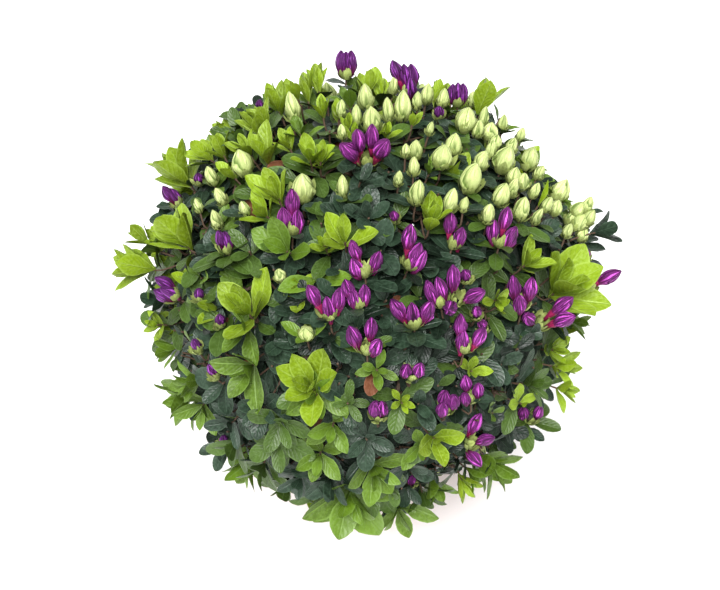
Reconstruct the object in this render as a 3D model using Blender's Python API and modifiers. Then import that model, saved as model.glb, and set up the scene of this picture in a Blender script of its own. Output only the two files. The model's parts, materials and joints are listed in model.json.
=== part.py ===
"""Potted rhododendron: a dense globe of small leaves and buds on a short forked stem, in a clay pot.

Metres, +Z up. The origin is the middle of the pot's flat underside.
The crown is several masses of twigs. Each mass keeps to its own wedge of the crown and grows from the
tip of one bough, and the boughs spring from the knuckle on top of the stem.
"""

import math
import random
from typing import NamedTuple

import bmesh
import bpy
import numpy as np
from mathutils import Matrix, Vector

SEED = 7
GAP = 0.0003
UP = Vector((0.0, 0.0, 1.0))
GOLDEN_ANGLE = math.pi * (3.0 - math.sqrt(5.0))

# Pot and soil
POT_HEIGHT = 0.170
POT_FOOT_RADIUS = 0.076
POT_NECK_RADIUS = 0.104
POT_WALL = 0.008
POT_FLOOR = 0.011
RIM_RADIUS = 0.115
RIM_HEIGHT = 0.034
RIM_ROUNDING = 0.003
POT_STEPS = 32
DRAIN_HOLES = 4
DRAIN_SIDES = 8
DRAIN_RADIUS = 0.006
DRAIN_CIRCLE = 0.045
SOIL_BELOW_RIM = 0.018
SOIL_MOUND = 0.004
SOIL_FLAT_RADIUS = 0.035
SOIL_TOP = POT_HEIGHT - SOIL_BELOW_RIM

# Stem
STEM_HEIGHT = 0.046
STEM_LEAN = Vector((0.006, -0.004, 0.0))
STEM_STEPS = 16
FLARE_RADIUS = 0.019
FLARE_HEIGHT = 0.016
WAIST_RADIUS = 0.0095
KNUCKLE_RADIUS = 0.015
ROOT_LOBES = 5
ROOT_LOBE_DEPTH = 0.18

# Crown. Its outline has broad lobes (number, depth, turn) and finer ones (number, depth, twist with height)
CROWN_RADIUS = 0.200
CROWN_CENTRE = Vector((0.0, 0.0, POT_HEIGHT + 0.120))
CROWN_LOWEST = -0.62
CROWN_TUCK = 0.10
BROAD_LOBES = (3, 0.022, 0.4)
FINE_LOBES = (5, 0.018, 4.0)
SHOOT_DEPTH = 0.85
SHOOTS = 107
TIP_PLACES = 1200
DEPTH_JITTER = 0.03
SHOOT_LENGTH = 0.016
SHOOT_MARGIN = 0.006
OUTWARD_SHARE = 0.62
UPWARD_SHARE = 0.50
AXIS_JITTER = 0.16
SPACE_MARGIN = 0.0008
LIMB_MARGIN = 0.002
POT_MARGIN = 0.003

# Rings of masses: how many, their angle from straight up, the angle at which their boughs leave the knuckle
MASS_RINGS = (("top", 1, 0.0, 4.0), ("upper", 5, 56.0, 44.0), ("lower", 6, 98.0, 86.0))
MASS_JITTER = 4.0
FRONT = math.radians(-90.0)

# Boughs and twigs
BOUGH_REACH = 0.44
BOUGH_ROOT_RADIUS = 0.0046
BOUGH_TIP_RADIUS = 0.0026
BOUGH_SEAT = 0.005
BOUGH_POINTS = 6
BOUGH_SWAY = 0.36
TWIG_TIP_RADIUS = 0.0009
TWIG_THICKENING = 0.38
TWIG_FORK_STEP = 0.42
TWIG_FORK_PLACE = 0.85
LAST_FORK_DEPTH = 0.68
TWIG_SPLIT = (0.36, 0.64)
TWIG_SAMPLE = 0.008

# Core of a mass, the close growth that no light comes through, in shares of the crown's radius
CORE_OUTSIDE = 0.71
CORE_INSIDE = 0.49
CORE_LUMPS = 0.09
CORE_GAP = 0.0015
CORE_LOWEST = POT_HEIGHT + 0.034

# Leaves, fewer and larger than life so that the crown closes, spread from the hub of a rosette
LEAF_LENGTH = 0.045
LEAF_WIDTH = 0.0215
LEAF_WIDEST = 0.56
LEAF_THICKNESS = 0.0013
LEAF_FOLD = 0.0025
LEAF_SIZES = (0.84, 1.08)
LEAF_CLEARANCE = 0.0055
LEAF_TRIES = 24
HUB_RADIUS = 0.004
HUB_ABOVE = 0.0015
HUB_BELOW = 0.005

# For each kind of shoot: how many leaves, and the least and the most they spread from its axis
LEAVES = {"leafy": (6, 48.0, 82.0), "purple": (6, 62.0, 86.0), "green": (6, 60.0, 84.0)}

# For each kind of bud: length, radius, where along it is the widest
BUDS = {"purple": (0.033, 0.0058, 0.42), "green": (0.027, 0.0088, 0.46)}
BUD_SIZES = (0.88, 1.06)
BUD_SPREAD = 24.0
BUD_FOOT_CIRCLE = 0.0015
BUD_ROOT = 0.0027
HIDDEN_PURPLE_SHARE = 0.20
HIDDEN_GREEN_SHARE = 0.17

# The line of sight on the crown, which places the buds that show from there
SIGHT_DISTANCE = 1.0
SIGHT_ANGLE = math.radians(56.0)
SIGHT_PIXELS = 1166.0
CROWN_MIDDLE_PIXEL = (364.0, 292.0)

# Foot of each purple truss in the view: across, down, number of buds
PURPLE_TRUSSES = (
    (346, 82, 2), (403, 95, 3), (366, 168, 3), (183, 212, 2), (293, 243, 3), (228, 257, 1),
    (181, 298, 2), (365, 279, 3), (329, 323, 3), (366, 356, 3), (413, 331, 2), (452, 304, 3),
    (462, 356, 3), (521, 312, 3), (585, 289, 1), (406, 273, 3), (497, 250, 3), (456, 107, 2),
    (377, 424, 2), (445, 415, 3), (466, 447, 2), (530, 421, 2), (217, 379, 1),
)
# Foot of each green bud in the view: across, down
GREEN_BUDS = (
    (471, 198), (243, 178), (304, 208), (293, 128), (442, 166), (503, 176), (531, 170),
    (402, 124), (556, 204), (518, 219), (582, 234), (341, 200), (418, 207), (216, 225),
)

# Colour (linear red, green, blue), roughness and metallic value of each material
LOOKS = {
    "clay": ((0.42, 0.17, 0.09), 0.85, 0.0),
    "potting_soil": ((0.035, 0.022, 0.015), 0.95, 0.0),
    "bark": ((0.13, 0.09, 0.065), 0.9, 0.0),
    "foliage": ((0.10, 0.20, 0.035), 0.5, 0.0),
    "inner_foliage": ((0.025, 0.05, 0.018), 0.7, 0.0),
    "purple_bud": ((0.20, 0.03, 0.24), 0.55, 0.0),
    "green_bud": ((0.50, 0.62, 0.27), 0.55, 0.0),
}


class Shoot(NamedTuple):
    tip: Vector
    axis: Vector
    kind: str
    buds: int


class Mass(NamedTuple):
    name: str
    heading: Vector
    bough: list


class Growth(NamedTuple):
    mass: Mass
    planes: list
    shoots: list
    paths: list
    buds: list
    rosettes: list


class Leaf(NamedTuple):
    right: Vector
    tip: Vector
    left: Vector
    ridge: Vector


def direction(angle_from_up, azimuth):
    """Unit vector at an angle from straight up, turned by an azimuth about Z, both in radians."""
    return Vector((
        math.sin(angle_from_up) * math.cos(azimuth),
        math.sin(angle_from_up) * math.sin(azimuth),
        math.cos(angle_from_up),
    ))


def reach(heading):
    """How far the crown goes towards a heading: a globe with slight lobes, tucked in below."""
    azimuth = math.atan2(heading.y, heading.x)
    number, depth, turn = BROAD_LOBES
    lobes = depth * math.sin(number * azimuth + turn) * math.hypot(heading.x, heading.y)
    number, depth, twist = FINE_LOBES
    lobes += depth * math.sin(number * azimuth + twist * heading.z)
    tuck = CROWN_TUCK * max(0.0, -heading.z) ** 2
    return CROWN_RADIUS * (1.0 + lobes - tuck)


def seen_at(across, down):
    """Where the line of sight through a pixel meets the shoots' layer, or passes nearest to the middle."""
    back = Vector((0.0, -math.cos(SIGHT_ANGLE), math.sin(SIGHT_ANGLE)))
    above = Vector((0.0, math.sin(SIGHT_ANGLE), math.cos(SIGHT_ANGLE)))
    right = Vector((1.0, 0.0, 0.0))
    slope_x = (across - CROWN_MIDDLE_PIXEL[0]) / SIGHT_PIXELS
    slope_y = (CROWN_MIDDLE_PIXEL[1] - down) / SIGHT_PIXELS
    sight = (right * slope_x + above * slope_y - back).normalized()
    eye = back * SIGHT_DISTANCE
    nearest = eye - sight * eye.dot(sight)
    depth = CROWN_RADIUS * SHOOT_DEPTH
    for _ in range(4):
        half_chord = math.sqrt(max(0.0, depth**2 - nearest.length_squared))
        found = nearest - sight * half_chord
        depth = reach(found.normalized()) * SHOOT_DEPTH
    return found.normalized() * depth + CROWN_CENTRE


def shoot_axis(tip, draw):
    """A shoot points between outwards and up, a little off by chance."""
    outward = (tip - CROWN_CENTRE).normalized()
    stray = Vector([draw.uniform(-AXIS_JITTER, AXIS_JITTER) for _ in range(3)])
    return (outward * OUTWARD_SHARE + UP * UPWARD_SHARE + stray).normalized()


def tip_places(draw):
    """Places all over the crown that a shoot may end at, far more than there are shoots."""
    places = []
    for i in range(TIP_PLACES):
        height = 1.0 - (1.0 - CROWN_LOWEST) * (i + 0.5) / TIP_PLACES
        heading = direction(math.acos(height), i * GOLDEN_ANGLE)
        depth = SHOOT_DEPTH * (1.0 + draw.uniform(-DEPTH_JITTER, DEPTH_JITTER))
        places.append(CROWN_CENTRE + heading * reach(heading) * depth)
    return places


def crown_shoots(draw):
    """The shoots with the buds of the view, then others, each at the place furthest from those so far."""
    shoots = []
    for across, down, buds in PURPLE_TRUSSES:
        place = seen_at(across, down)
        shoots.append(Shoot(place, shoot_axis(place, draw), "purple", buds))
    for across, down in GREEN_BUDS:
        place = seen_at(across, down)
        shoots.append(Shoot(place, shoot_axis(place, draw), "green", 1))
    toward_view = Vector((0.0, -math.cos(SIGHT_ANGLE), math.sin(SIGHT_ANGLE)))
    places = tip_places(draw)
    room = [min((place - shoot.tip).length for shoot in shoots) for place in places]
    while len(shoots) < SHOOTS:
        tip = places[room.index(max(room))]
        room = [min(least, (place - tip).length) for least, place in zip(room, places)]
        kind, buds, chance = "leafy", 0, draw.random()
        if (tip - CROWN_CENTRE).normalized().dot(toward_view) < 0.0:
            if chance < HIDDEN_PURPLE_SHARE:
                kind, buds = "purple", draw.randint(2, 3)
            elif chance < HIDDEN_PURPLE_SHARE + HIDDEN_GREEN_SHARE:
                kind, buds = "green", 1
        shoots.append(Shoot(tip, shoot_axis(tip, draw), kind, buds))
    return shoots


def knuckle():
    """Middle of the knuckle on top of the stem."""
    return Vector((0.0, 0.0, SOIL_TOP + GAP + STEM_HEIGHT)) + STEM_LEAN


def bough_line(heading, spring):
    """Points of a bough's axis, from its seat on the knuckle in a smooth bend to where its mass begins."""
    root = knuckle() + spring * (KNUCKLE_RADIUS + GAP)
    start = root + spring * BOUGH_SEAT
    end = CROWN_CENTRE + heading * CROWN_RADIUS * BOUGH_REACH
    sway = (end - start).length * BOUGH_SWAY
    first, second = start + spring * sway, end - heading * sway
    points = [root]
    for i in range(BOUGH_POINTS - 1):
        t = i / (BOUGH_POINTS - 2)
        s = 1.0 - t
        points.append(start * s**3 + first * 3 * s**2 * t + second * 3 * s * t**2 + end * t**3)
    return points


def crown_masses(draw):
    """Name, heading and bough of each mass, ring by ring."""
    masses = []
    for name, count, angle, spring_angle in MASS_RINGS:
        for i in range(count):
            azimuth = FRONT + math.tau * i / count + math.radians(draw.uniform(-MASS_JITTER, MASS_JITTER))
            tilt = math.radians(angle + draw.uniform(-MASS_JITTER, MASS_JITTER))
            heading = direction(tilt, azimuth)
            spring = direction(math.radians(spring_angle), azimuth)
            masses.append(Mass(f"{name}_{i + 1}", heading, bough_line(heading, spring)))
    return masses


def planes_between(mass, masses):
    """Unit vectors that point into the mass's space from the plane between it and each other mass."""
    return [(mass.heading - other.heading).normalized() for other in masses if other is not mass]


def moved_inside(point, planes, margin):
    """The point, moved if need be until it is a margin inside the space that the planes bound."""
    moved = point - CROWN_CENTRE
    for _ in range(3):
        for inward in planes:
            moved += inward * max(0.0, margin - moved.dot(inward))
    return moved + CROWN_CENTRE


def fits(points, planes, limbs):
    """True if the points keep to the space that the planes bound and are clear of the pot and every limb."""
    if any((p - CROWN_CENTRE).dot(inward) < SPACE_MARGIN for p in points for inward in planes):
        return False
    if any(p.z < POT_HEIGHT + POT_MARGIN for p in points):
        return False
    clearance = BOUGH_ROOT_RADIUS + LIMB_MARGIN
    return all((p - q).length > clearance for p in points for q in limbs)


def halves(shoots, draw):
    """The shoots in two groups, split across the direction in which they spread most."""
    tips = np.array([shoot.tip for shoot in shoots])
    spread = np.linalg.svd(tips - tips.mean(axis=0))[2][0]
    ordered = [shoots[i] for i in np.argsort(tips @ spread)]
    cut = round(len(ordered) * draw.uniform(*TWIG_SPLIT))
    cut = min(max(cut, 1), len(ordered) - 1)
    return sorted((ordered[:cut], ordered[cut:]), key=len)


def branch(paths, path, shoots, draw):
    """Leads a twig on to its shoots, forking on the way. A path is a list of (point, shoots beyond it)."""
    if len(shoots) == 1:
        shoot = shoots[0]
        path.append((shoot.tip - shoot.axis * SHOOT_LENGTH, 1))
        path.append((shoot.tip, 1))
        paths.append(path)
        return
    middle = sum((shoot.tip for shoot in shoots), Vector()) / len(shoots)
    before = path[-1][0]
    onward = before.lerp(middle, TWIG_FORK_STEP) - CROWN_CENTRE
    onward *= min(1.0, CROWN_RADIUS * LAST_FORK_DEPTH / onward.length)
    path.append((CROWN_CENTRE + onward, len(shoots)))
    fork = before.lerp(path[-1][0], TWIG_FORK_PLACE)
    smaller, larger = halves(shoots, draw)
    branch(paths, path, larger, draw)
    branch(paths, [(fork, len(smaller))], smaller, draw)


def clear_scene():
    for obj in list(bpy.data.objects):
        bpy.data.objects.remove(obj, do_unlink=True)


def collection(name):
    made = bpy.data.collections.new(name)
    bpy.context.scene.collection.children.link(made)
    return made


def material(name):
    colour, roughness, metallic = LOOKS[name]
    made = bpy.data.materials.new(name)
    made.use_nodes = True
    shader = made.node_tree.nodes["Principled BSDF"]
    shader.inputs["Base Color"].default_value = (*colour, 1.0)
    shader.inputs["Roughness"].default_value = roughness
    shader.inputs["Metallic"].default_value = metallic
    made.diffuse_color = (*colour, 1.0)
    return made


def placed(name, data, home, look=None):
    """An object of the data in a collection, with a material where one is named."""
    obj = bpy.data.objects.new(name, data)
    home.objects.link(obj)
    if look and not data.materials:
        data.materials.append(look)
    return obj


def evaluated_mesh(obj):
    bpy.context.view_layer.update()
    return bpy.data.meshes.new_from_object(obj.evaluated_get(bpy.context.evaluated_depsgraph_get()))


def turned(name, profile, steps, home, look):
    """A solid of revolution about Z. The profile is (radius, height) points that run down its outer side."""
    mesh = bpy.data.meshes.new(name)
    edges = [(i, i + 1) for i in range(len(profile) - 1)]
    mesh.from_pydata([(radius, 0.0, height) for radius, height in profile], edges, [])
    obj = placed(name, mesh, home, look)
    screw = obj.modifiers.new("turn", "SCREW")
    screw.steps = screw.render_steps = steps
    screw.use_merge_vertices = True
    screw.merge_threshold = 0.0001
    return obj


def arc(centre, radius, start, end, steps):
    """Points of (radius, height) along an arc, with its angles in degrees above level."""
    points = []
    for i in range(steps + 1):
        angle = math.radians(start + (end - start) * i / steps)
        points.append((centre[0] + radius * math.cos(angle), centre[1] + radius * math.sin(angle)))
    return points


def pot_outside(height):
    """Radius of the pot's tapering body at a height."""
    share = height / (POT_HEIGHT - RIM_HEIGHT)
    return POT_FOOT_RADIUS + (POT_NECK_RADIUS - POT_FOOT_RADIUS) * share


def pot(home, cutters, look):
    """A tapered clay pot with a plain band at the rim and drain holes round the middle of its floor."""
    inner_top = RIM_RADIUS - POT_WALL - RIM_ROUNDING
    profile = [(0.0, POT_FLOOR), (pot_outside(POT_FLOOR) - POT_WALL, POT_FLOOR), (inner_top, POT_HEIGHT)]
    profile += arc((RIM_RADIUS - RIM_ROUNDING, POT_HEIGHT - RIM_ROUNDING), RIM_ROUNDING, 90.0, 0.0, 2)
    profile += [
        (RIM_RADIUS - RIM_ROUNDING / 2, POT_HEIGHT - RIM_HEIGHT),
        (POT_NECK_RADIUS, POT_HEIGHT - RIM_HEIGHT),
        (POT_FOOT_RADIUS, 0.0),
        (0.0, 0.0),
    ]
    body = turned("pot", profile, POT_STEPS, home, look)
    for i in range(DRAIN_HOLES):
        bm = bmesh.new()
        bmesh.ops.create_cone(
            bm,
            cap_ends=True,
            segments=DRAIN_SIDES,
            radius1=DRAIN_RADIUS,
            radius2=DRAIN_RADIUS,
            depth=POT_FLOOR * 3,
        )
        mesh = bpy.data.meshes.new("drain_cutter")
        bm.to_mesh(mesh)
        bm.free()
        cutter = placed(f"drain_cutter_{i + 1}", mesh, cutters)
        cutter.location = direction(math.pi / 2, math.tau * i / DRAIN_HOLES) * DRAIN_CIRCLE
        cutter.hide_render = True
        cutter.display_type = "WIRE"
        cut = body.modifiers.new(cutter.name, "BOOLEAN")
        cut.object = cutter
    return body


def soil(home, look):
    """The potting mix, a plug that fills the pot and stands a little higher round the stem."""
    inner_foot = pot_outside(POT_FLOOR) - POT_WALL
    inner_top = RIM_RADIUS - POT_WALL - RIM_ROUNDING
    edge_height = SOIL_TOP - SOIL_MOUND
    share = (edge_height - POT_FLOOR) / (POT_HEIGHT - POT_FLOOR)
    edge_radius = inner_foot + (inner_top - inner_foot) * share
    profile = [
        (0.0, SOIL_TOP),
        (SOIL_FLAT_RADIUS, SOIL_TOP),
        ((SOIL_FLAT_RADIUS + edge_radius) / 2, SOIL_TOP - SOIL_MOUND / 3),
        (edge_radius - 2 * GAP, edge_height),
        (inner_foot - 2 * GAP, POT_FLOOR + GAP),
        (0.0, POT_FLOOR + GAP),
    ]
    return turned("potting_soil", profile, POT_STEPS, home, look)


def stem(home, look):
    """The stem: a flat cut on the soil, a lobed root flare, a waist and the knuckle that forks."""
    ground = SOIL_TOP + GAP
    fork = ground + STEM_HEIGHT
    profile = arc((0.0, fork), KNUCKLE_RADIUS, 90.0, -48.0, 7)
    profile[0] = (0.0, fork + KNUCKLE_RADIUS)
    profile += [
        (WAIST_RADIUS, fork - KNUCKLE_RADIUS * 1.15),
        (WAIST_RADIUS * 1.08, ground + FLARE_HEIGHT),
        (WAIST_RADIUS * 1.35, ground + FLARE_HEIGHT * 0.45),
        (FLARE_RADIUS, ground),
        (0.0, ground),
    ]
    body = turned("stem", profile, STEM_STEPS, home, look)
    mesh = evaluated_mesh(body)
    body.modifiers.clear()
    for vertex in mesh.vertices:
        rise = min(1.0, max(0.0, (vertex.co.z - ground) / (STEM_HEIGHT - KNUCKLE_RADIUS)))
        azimuth = math.atan2(vertex.co.y, vertex.co.x)
        lobe = 1.0 + ROOT_LOBE_DEPTH * math.cos(ROOT_LOBES * azimuth) * (1.0 - rise) ** 4
        vertex.co.x = vertex.co.x * lobe + STEM_LEAN.x * rise
        vertex.co.y = vertex.co.y * lobe + STEM_LEAN.y * rise
    body.data = mesh
    return body


def tube(name, points, radii, home, look, profile=None):
    """A limb along a line of points as a curve, round, or three-sided where it is given that profile."""
    curve = bpy.data.curves.new(name, "CURVE")
    curve.dimensions = "3D"
    curve.use_fill_caps = True
    if profile:
        curve.bevel_mode = "OBJECT"
        curve.bevel_object = profile
    else:
        curve.bevel_depth = 1.0
        curve.bevel_resolution = 2
    spline = curve.splines.new("POLY")
    spline.points.add(len(points) - 1)
    for control, point, radius in zip(spline.points, points, radii):
        control.co = (*point, 1.0)
        control.radius = radius
    return placed(name, curve, home, look)


def boughs(masses, home, look):
    """One tapering limb for each mass."""
    for mass in masses:
        shares = [i / (BOUGH_POINTS - 1) for i in range(BOUGH_POINTS)]
        radii = [BOUGH_ROOT_RADIUS + (BOUGH_TIP_RADIUS - BOUGH_ROOT_RADIUS) * share for share in shares]
        tube(f"bough_{mass.name}", mass.bough, radii, home, look)


def three_sided_profile(home):
    """The outline that a twig's curve carries along, of unit size."""
    curve = bpy.data.curves.new("twig_profile", "CURVE")
    spline = curve.splines.new("POLY")
    spline.points.add(2)
    spline.use_cyclic_u = True
    for i, control in enumerate(spline.points):
        corner = direction(math.pi / 2, math.tau * i / 3)
        control.co = (*corner, 1.0)
    guide = placed("twig_profile", curve, home)
    guide.hide_render = True
    return guide


def as_mesh_object(obj, home):
    """The same piece as a mesh, with its caps welded, in another collection."""
    mesh = evaluated_mesh(obj)
    bm = bmesh.new()
    bm.from_mesh(mesh)
    bmesh.ops.remove_doubles(bm, verts=bm.verts, dist=1e-6)
    bmesh.ops.recalc_face_normals(bm, faces=bm.faces)
    bm.to_mesh(mesh)
    bm.free()
    made = placed(obj.name + "_mesh", mesh, home)
    made.matrix_world = obj.matrix_world
    bpy.data.objects.remove(obj, do_unlink=True)
    return made


def cut_away(bm, point, normal):
    """Cuts off what lies beyond a plane, on the side that its normal points to, and closes the cut."""
    geometry = bm.verts[:] + bm.edges[:] + bm.faces[:]
    bmesh.ops.bisect_plane(bm, geom=geometry, plane_co=point, plane_no=normal, clear_outer=True)
    bmesh.ops.holes_fill(bm, edges=[edge for edge in bm.edges if edge.is_boundary])


def core(mass, planes, home, look, draw):
    """The close middle of a mass: its share of a lumpy shell, with flat sides along the mass's space."""
    bm = bmesh.new()
    bmesh.ops.create_icosphere(bm, subdivisions=3, radius=1.0)
    for vertex in bm.verts:
        lumpy = CROWN_RADIUS * CORE_OUTSIDE * (1.0 + draw.uniform(-CORE_LUMPS, CORE_LUMPS))
        vertex.co = CROWN_CENTRE + vertex.co.normalized() * lumpy
    cut_away(bm, CROWN_CENTRE + mass.heading * CROWN_RADIUS * CORE_INSIDE, -mass.heading)
    cut_away(bm, UP * CORE_LOWEST, -UP)
    for inward in planes:
        cut_away(bm, CROWN_CENTRE + inward * CORE_GAP, -inward)
    mesh = bpy.data.meshes.new("core")
    bm.to_mesh(mesh)
    bm.free()
    return placed("core", mesh, home, look)


def bud(kind, foot, end, home, look):
    """A closed bud as a four-sided spindle, drawn out of the coarsest ball, from its foot to its point."""
    _, radius, widest = BUDS[kind]
    turn = (end - foot).to_track_quat("Z", "X")
    bm = bmesh.new()
    bmesh.ops.create_uvsphere(bm, u_segments=4, v_segments=2, radius=1.0)
    for vertex in bm.verts:
        along = widest
        if abs(vertex.co.z) > 0.5:
            along = 1.0 if vertex.co.z > 0.0 else 0.0
        outward = turn @ Vector((vertex.co.x, vertex.co.y, 0.0))
        vertex.co = foot.lerp(end, along) + outward * radius
    mesh = bpy.data.meshes.new("bud")
    bm.to_mesh(mesh)
    bm.free()
    return placed("bud", mesh, home, look)


def bud_lines(shoot, planes, draw):
    """Foot and end of each bud of a shoot, one upright or a truss that spreads, within the mass's space."""
    if not shoot.buds:
        return []
    length, radius, _ = BUDS[shoot.kind]
    spread = math.radians(BUD_SPREAD) if shoot.buds > 1 else 0.0
    side = shoot.axis.orthogonal().normalized()
    turn = draw.uniform(0.0, math.tau)
    lines = []
    for i in range(shoot.buds):
        outward = side.copy()
        outward.rotate(Matrix.Rotation(turn + math.tau * i / shoot.buds, 3, shoot.axis))
        along = shoot.axis * math.cos(spread) + outward * math.sin(spread)
        foot = shoot.tip + outward * (BUD_FOOT_CIRCLE if spread else 0.0) - along * BUD_ROOT
        end = moved_inside(foot + along * length * draw.uniform(*BUD_SIZES), planes, radius)
        lines.append((foot, end))
    return lines


def leaf_at(shoot, outward, tilt, size, planes):
    """A leaf spread from the shoot's axis towards a side, turned in where it would leave the space."""
    along = shoot.axis * math.cos(tilt) + outward * math.sin(tilt)
    tip = moved_inside(shoot.tip + along * LEAF_LENGTH * size, planes, LEAF_WIDTH * size / 2)
    along = (tip - shoot.tip).normalized()
    across = shoot.axis.cross(along).normalized()
    face = along.cross(across)
    middle = shoot.tip.lerp(tip, LEAF_WIDEST)
    half = across * (LEAF_WIDTH * size / 2)
    lift = face * LEAF_FOLD
    return Leaf(middle + lift - half, tip, middle + lift + half, middle + face * LEAF_THICKNESS)


def leaf_samples(shoot, leaf):
    """Points spread over a leaf, which its clearance is measured from."""
    nearer = shoot.tip.lerp(leaf.ridge, 0.6)
    further = leaf.ridge.lerp(leaf.tip, 0.5)
    return [leaf.right, leaf.left, leaf.tip, leaf.ridge, nearer, further]


def in_slot(shoot, leaf, outward, count):
    """True if the leaf keeps to its share of the turn round the shoot and so can't cross its neighbours."""
    across = shoot.axis.cross(outward)
    for point in (leaf.right, leaf.left):
        offset = point - shoot.tip
        if abs(math.atan2(offset.dot(across), offset.dot(outward))) > math.pi / count:
            return False
    return True


def slot_directions(shoot, count, turn):
    """Directions square to the shoot's axis, one for each leaf that it may have."""
    first = shoot.axis.orthogonal().normalized()
    first.rotate(Matrix.Rotation(turn, 3, shoot.axis))
    directions = []
    for slot in range(count):
        outward = first.copy()
        outward.rotate(Matrix.Rotation(math.tau * slot / count, 3, shoot.axis))
        directions.append(outward)
    return directions


def leaves_of(shoot, outwards, planes, limbs, taken, draw):
    """The leaves of a shoot, one for each direction, and None where none fits the space left to it."""
    _, least, most = LEAVES[shoot.kind]
    leaves = []
    for outward in outwards:
        found = None
        for _ in range(LEAF_TRIES):
            tilt = math.radians(draw.uniform(least, most))
            leaf = leaf_at(shoot, outward, tilt, draw.uniform(*LEAF_SIZES), planes)
            samples = leaf_samples(shoot, leaf)
            apart = np.linalg.norm(np.array(samples)[:, None] - taken[None], axis=2).min()
            if apart < LEAF_CLEARANCE or not in_slot(shoot, leaf, outward, len(outwards)):
                continue
            if fits(samples, planes, limbs):
                found = leaf
                break
        leaves.append(found)
    return leaves


def rosette(shoot, outwards, leaves, home, look):
    """The leaves of a shoot as one body, round a hub that the shoot's tip is sunk in."""
    points = [shoot.tip + shoot.axis * HUB_ABOVE, shoot.tip - shoot.axis * HUB_BELOW]
    notches = []
    for i, outward in enumerate(outwards):
        notches.append(len(points))
        before = (outwards[i - 1] + outward).normalized()
        points.append(shoot.tip + before * HUB_RADIUS)
    faces = []
    for i, leaf in enumerate(leaves):
        here, onward = notches[i], notches[(i + 1) % len(leaves)]
        faces.append((1, onward, here))
        if not leaf:
            faces.append((0, here, onward))
            continue
        right, tip, left, ridge = range(len(points), len(points) + 4)
        points += leaf
        faces += [(0, here, ridge), (here, right, ridge), (right, tip, ridge)]
        faces += [(0, ridge, onward), (onward, ridge, left), (left, ridge, tip)]
        faces += [(here, tip, right), (here, onward, tip), (onward, left, tip)]
    mesh = bpy.data.meshes.new("rosette")
    mesh.from_pydata(points, [], faces)
    return placed("rosette", mesh, home, look)


def keep_largest_body(mesh):
    """Drops every piece of the mesh but the largest, so that scraps go and sealed hollows are filled."""
    bm = bmesh.new()
    bm.from_mesh(mesh)
    left, bodies = set(bm.faces), []
    while left:
        body, edge = set(), [left.pop()]
        while edge:
            face = edge.pop()
            body.add(face)
            for link in {other for side in face.edges for other in side.link_faces} & left:
                left.remove(link)
                edge.append(link)
        bodies.append(body)
    largest = max(bodies, key=len)
    bmesh.ops.delete(bm, geom=[f for f in bm.faces if f not in largest], context="FACES")
    bm.to_mesh(mesh)
    bm.free()


def fused(obj, pieces):
    """Joins the objects of a collection to one object by a Boolean union and removes them."""
    union = obj.modifiers.new("fuse", "BOOLEAN")
    union.operation = "UNION"
    union.operand_type = "COLLECTION"
    union.collection = pieces
    union.solver = "MANIFOLD"
    union.material_mode = "TRANSFER"
    mesh = evaluated_mesh(obj)
    obj.modifiers.clear()
    obj.data = mesh
    keep_largest_body(mesh)
    for piece in list(pieces.objects):
        bpy.data.objects.remove(piece, do_unlink=True)
    bpy.data.collections.remove(pieces)


def along_twigs(paths):
    """Points close together along every twig."""
    points = []
    for path in paths:
        for (start, _), (end, _) in zip(path, path[1:]):
            steps = max(1, round((end - start).length / TWIG_SAMPLE))
            points += [start.lerp(end, i / steps) for i in range(steps)]
    return points


def twigs_of(mass, shoots, draw):
    """The paths of a mass's twigs, which branch from one stem that goes on from the bough's tip."""
    onward = (mass.bough[-1] - mass.bough[-2]).normalized()
    foot = mass.bough[-1] + onward * GAP
    paths = []
    branch(paths, [(foot, len(shoots)), (foot + onward * SHOOT_LENGTH, len(shoots))], shoots, draw)
    return paths


def nearest_mass(tip, masses):
    outward = (tip - CROWN_CENTRE).normalized()
    return max(masses, key=lambda mass: outward.dot(mass.heading))


def wood_and_buds(masses, draw):
    """For each mass its space, its shoots, the twigs to them and the buds on them, with no leaves yet."""
    grown = {mass.name: Growth(mass, planes_between(mass, masses), [], [], [], []) for mass in masses}
    for shoot in crown_shoots(draw):
        growth = grown[nearest_mass(shoot.tip, masses).name]
        tip = moved_inside(shoot.tip, growth.planes, SHOOT_MARGIN)
        growth.shoots.append(shoot._replace(tip=tip))
    for growth in grown.values():
        growth.paths.extend(twigs_of(growth.mass, growth.shoots, draw))
        for shoot in growth.shoots:
            lines = bud_lines(shoot, growth.planes, draw)
            growth.buds.extend((shoot.kind, foot, end) for foot, end in lines)
    return list(grown.values())


def add_leaves(grown, limbs, draw):
    """Gives every shoot its leaves, each clear of the twigs, buds, limbs and leaves there before it."""
    taken = [point for growth in grown for point in along_twigs(growth.paths)]
    for growth in grown:
        for _, foot, end in growth.buds:
            taken += [foot.lerp(end, share) for share in (0.5, 0.8, 1.0)]
    taken = np.array(taken)
    for growth in grown:
        for shoot in growth.shoots:
            outwards = slot_directions(shoot, LEAVES[shoot.kind][0], draw.uniform(0.0, math.tau))
            leaves = leaves_of(shoot, outwards, growth.planes, limbs, taken, draw)
            samples = [point for leaf in leaves if leaf for point in leaf_samples(shoot, leaf)]
            if samples:
                taken = np.concatenate([taken, np.array(samples)])
            growth.rosettes.append((shoot, outwards, leaves))


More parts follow.
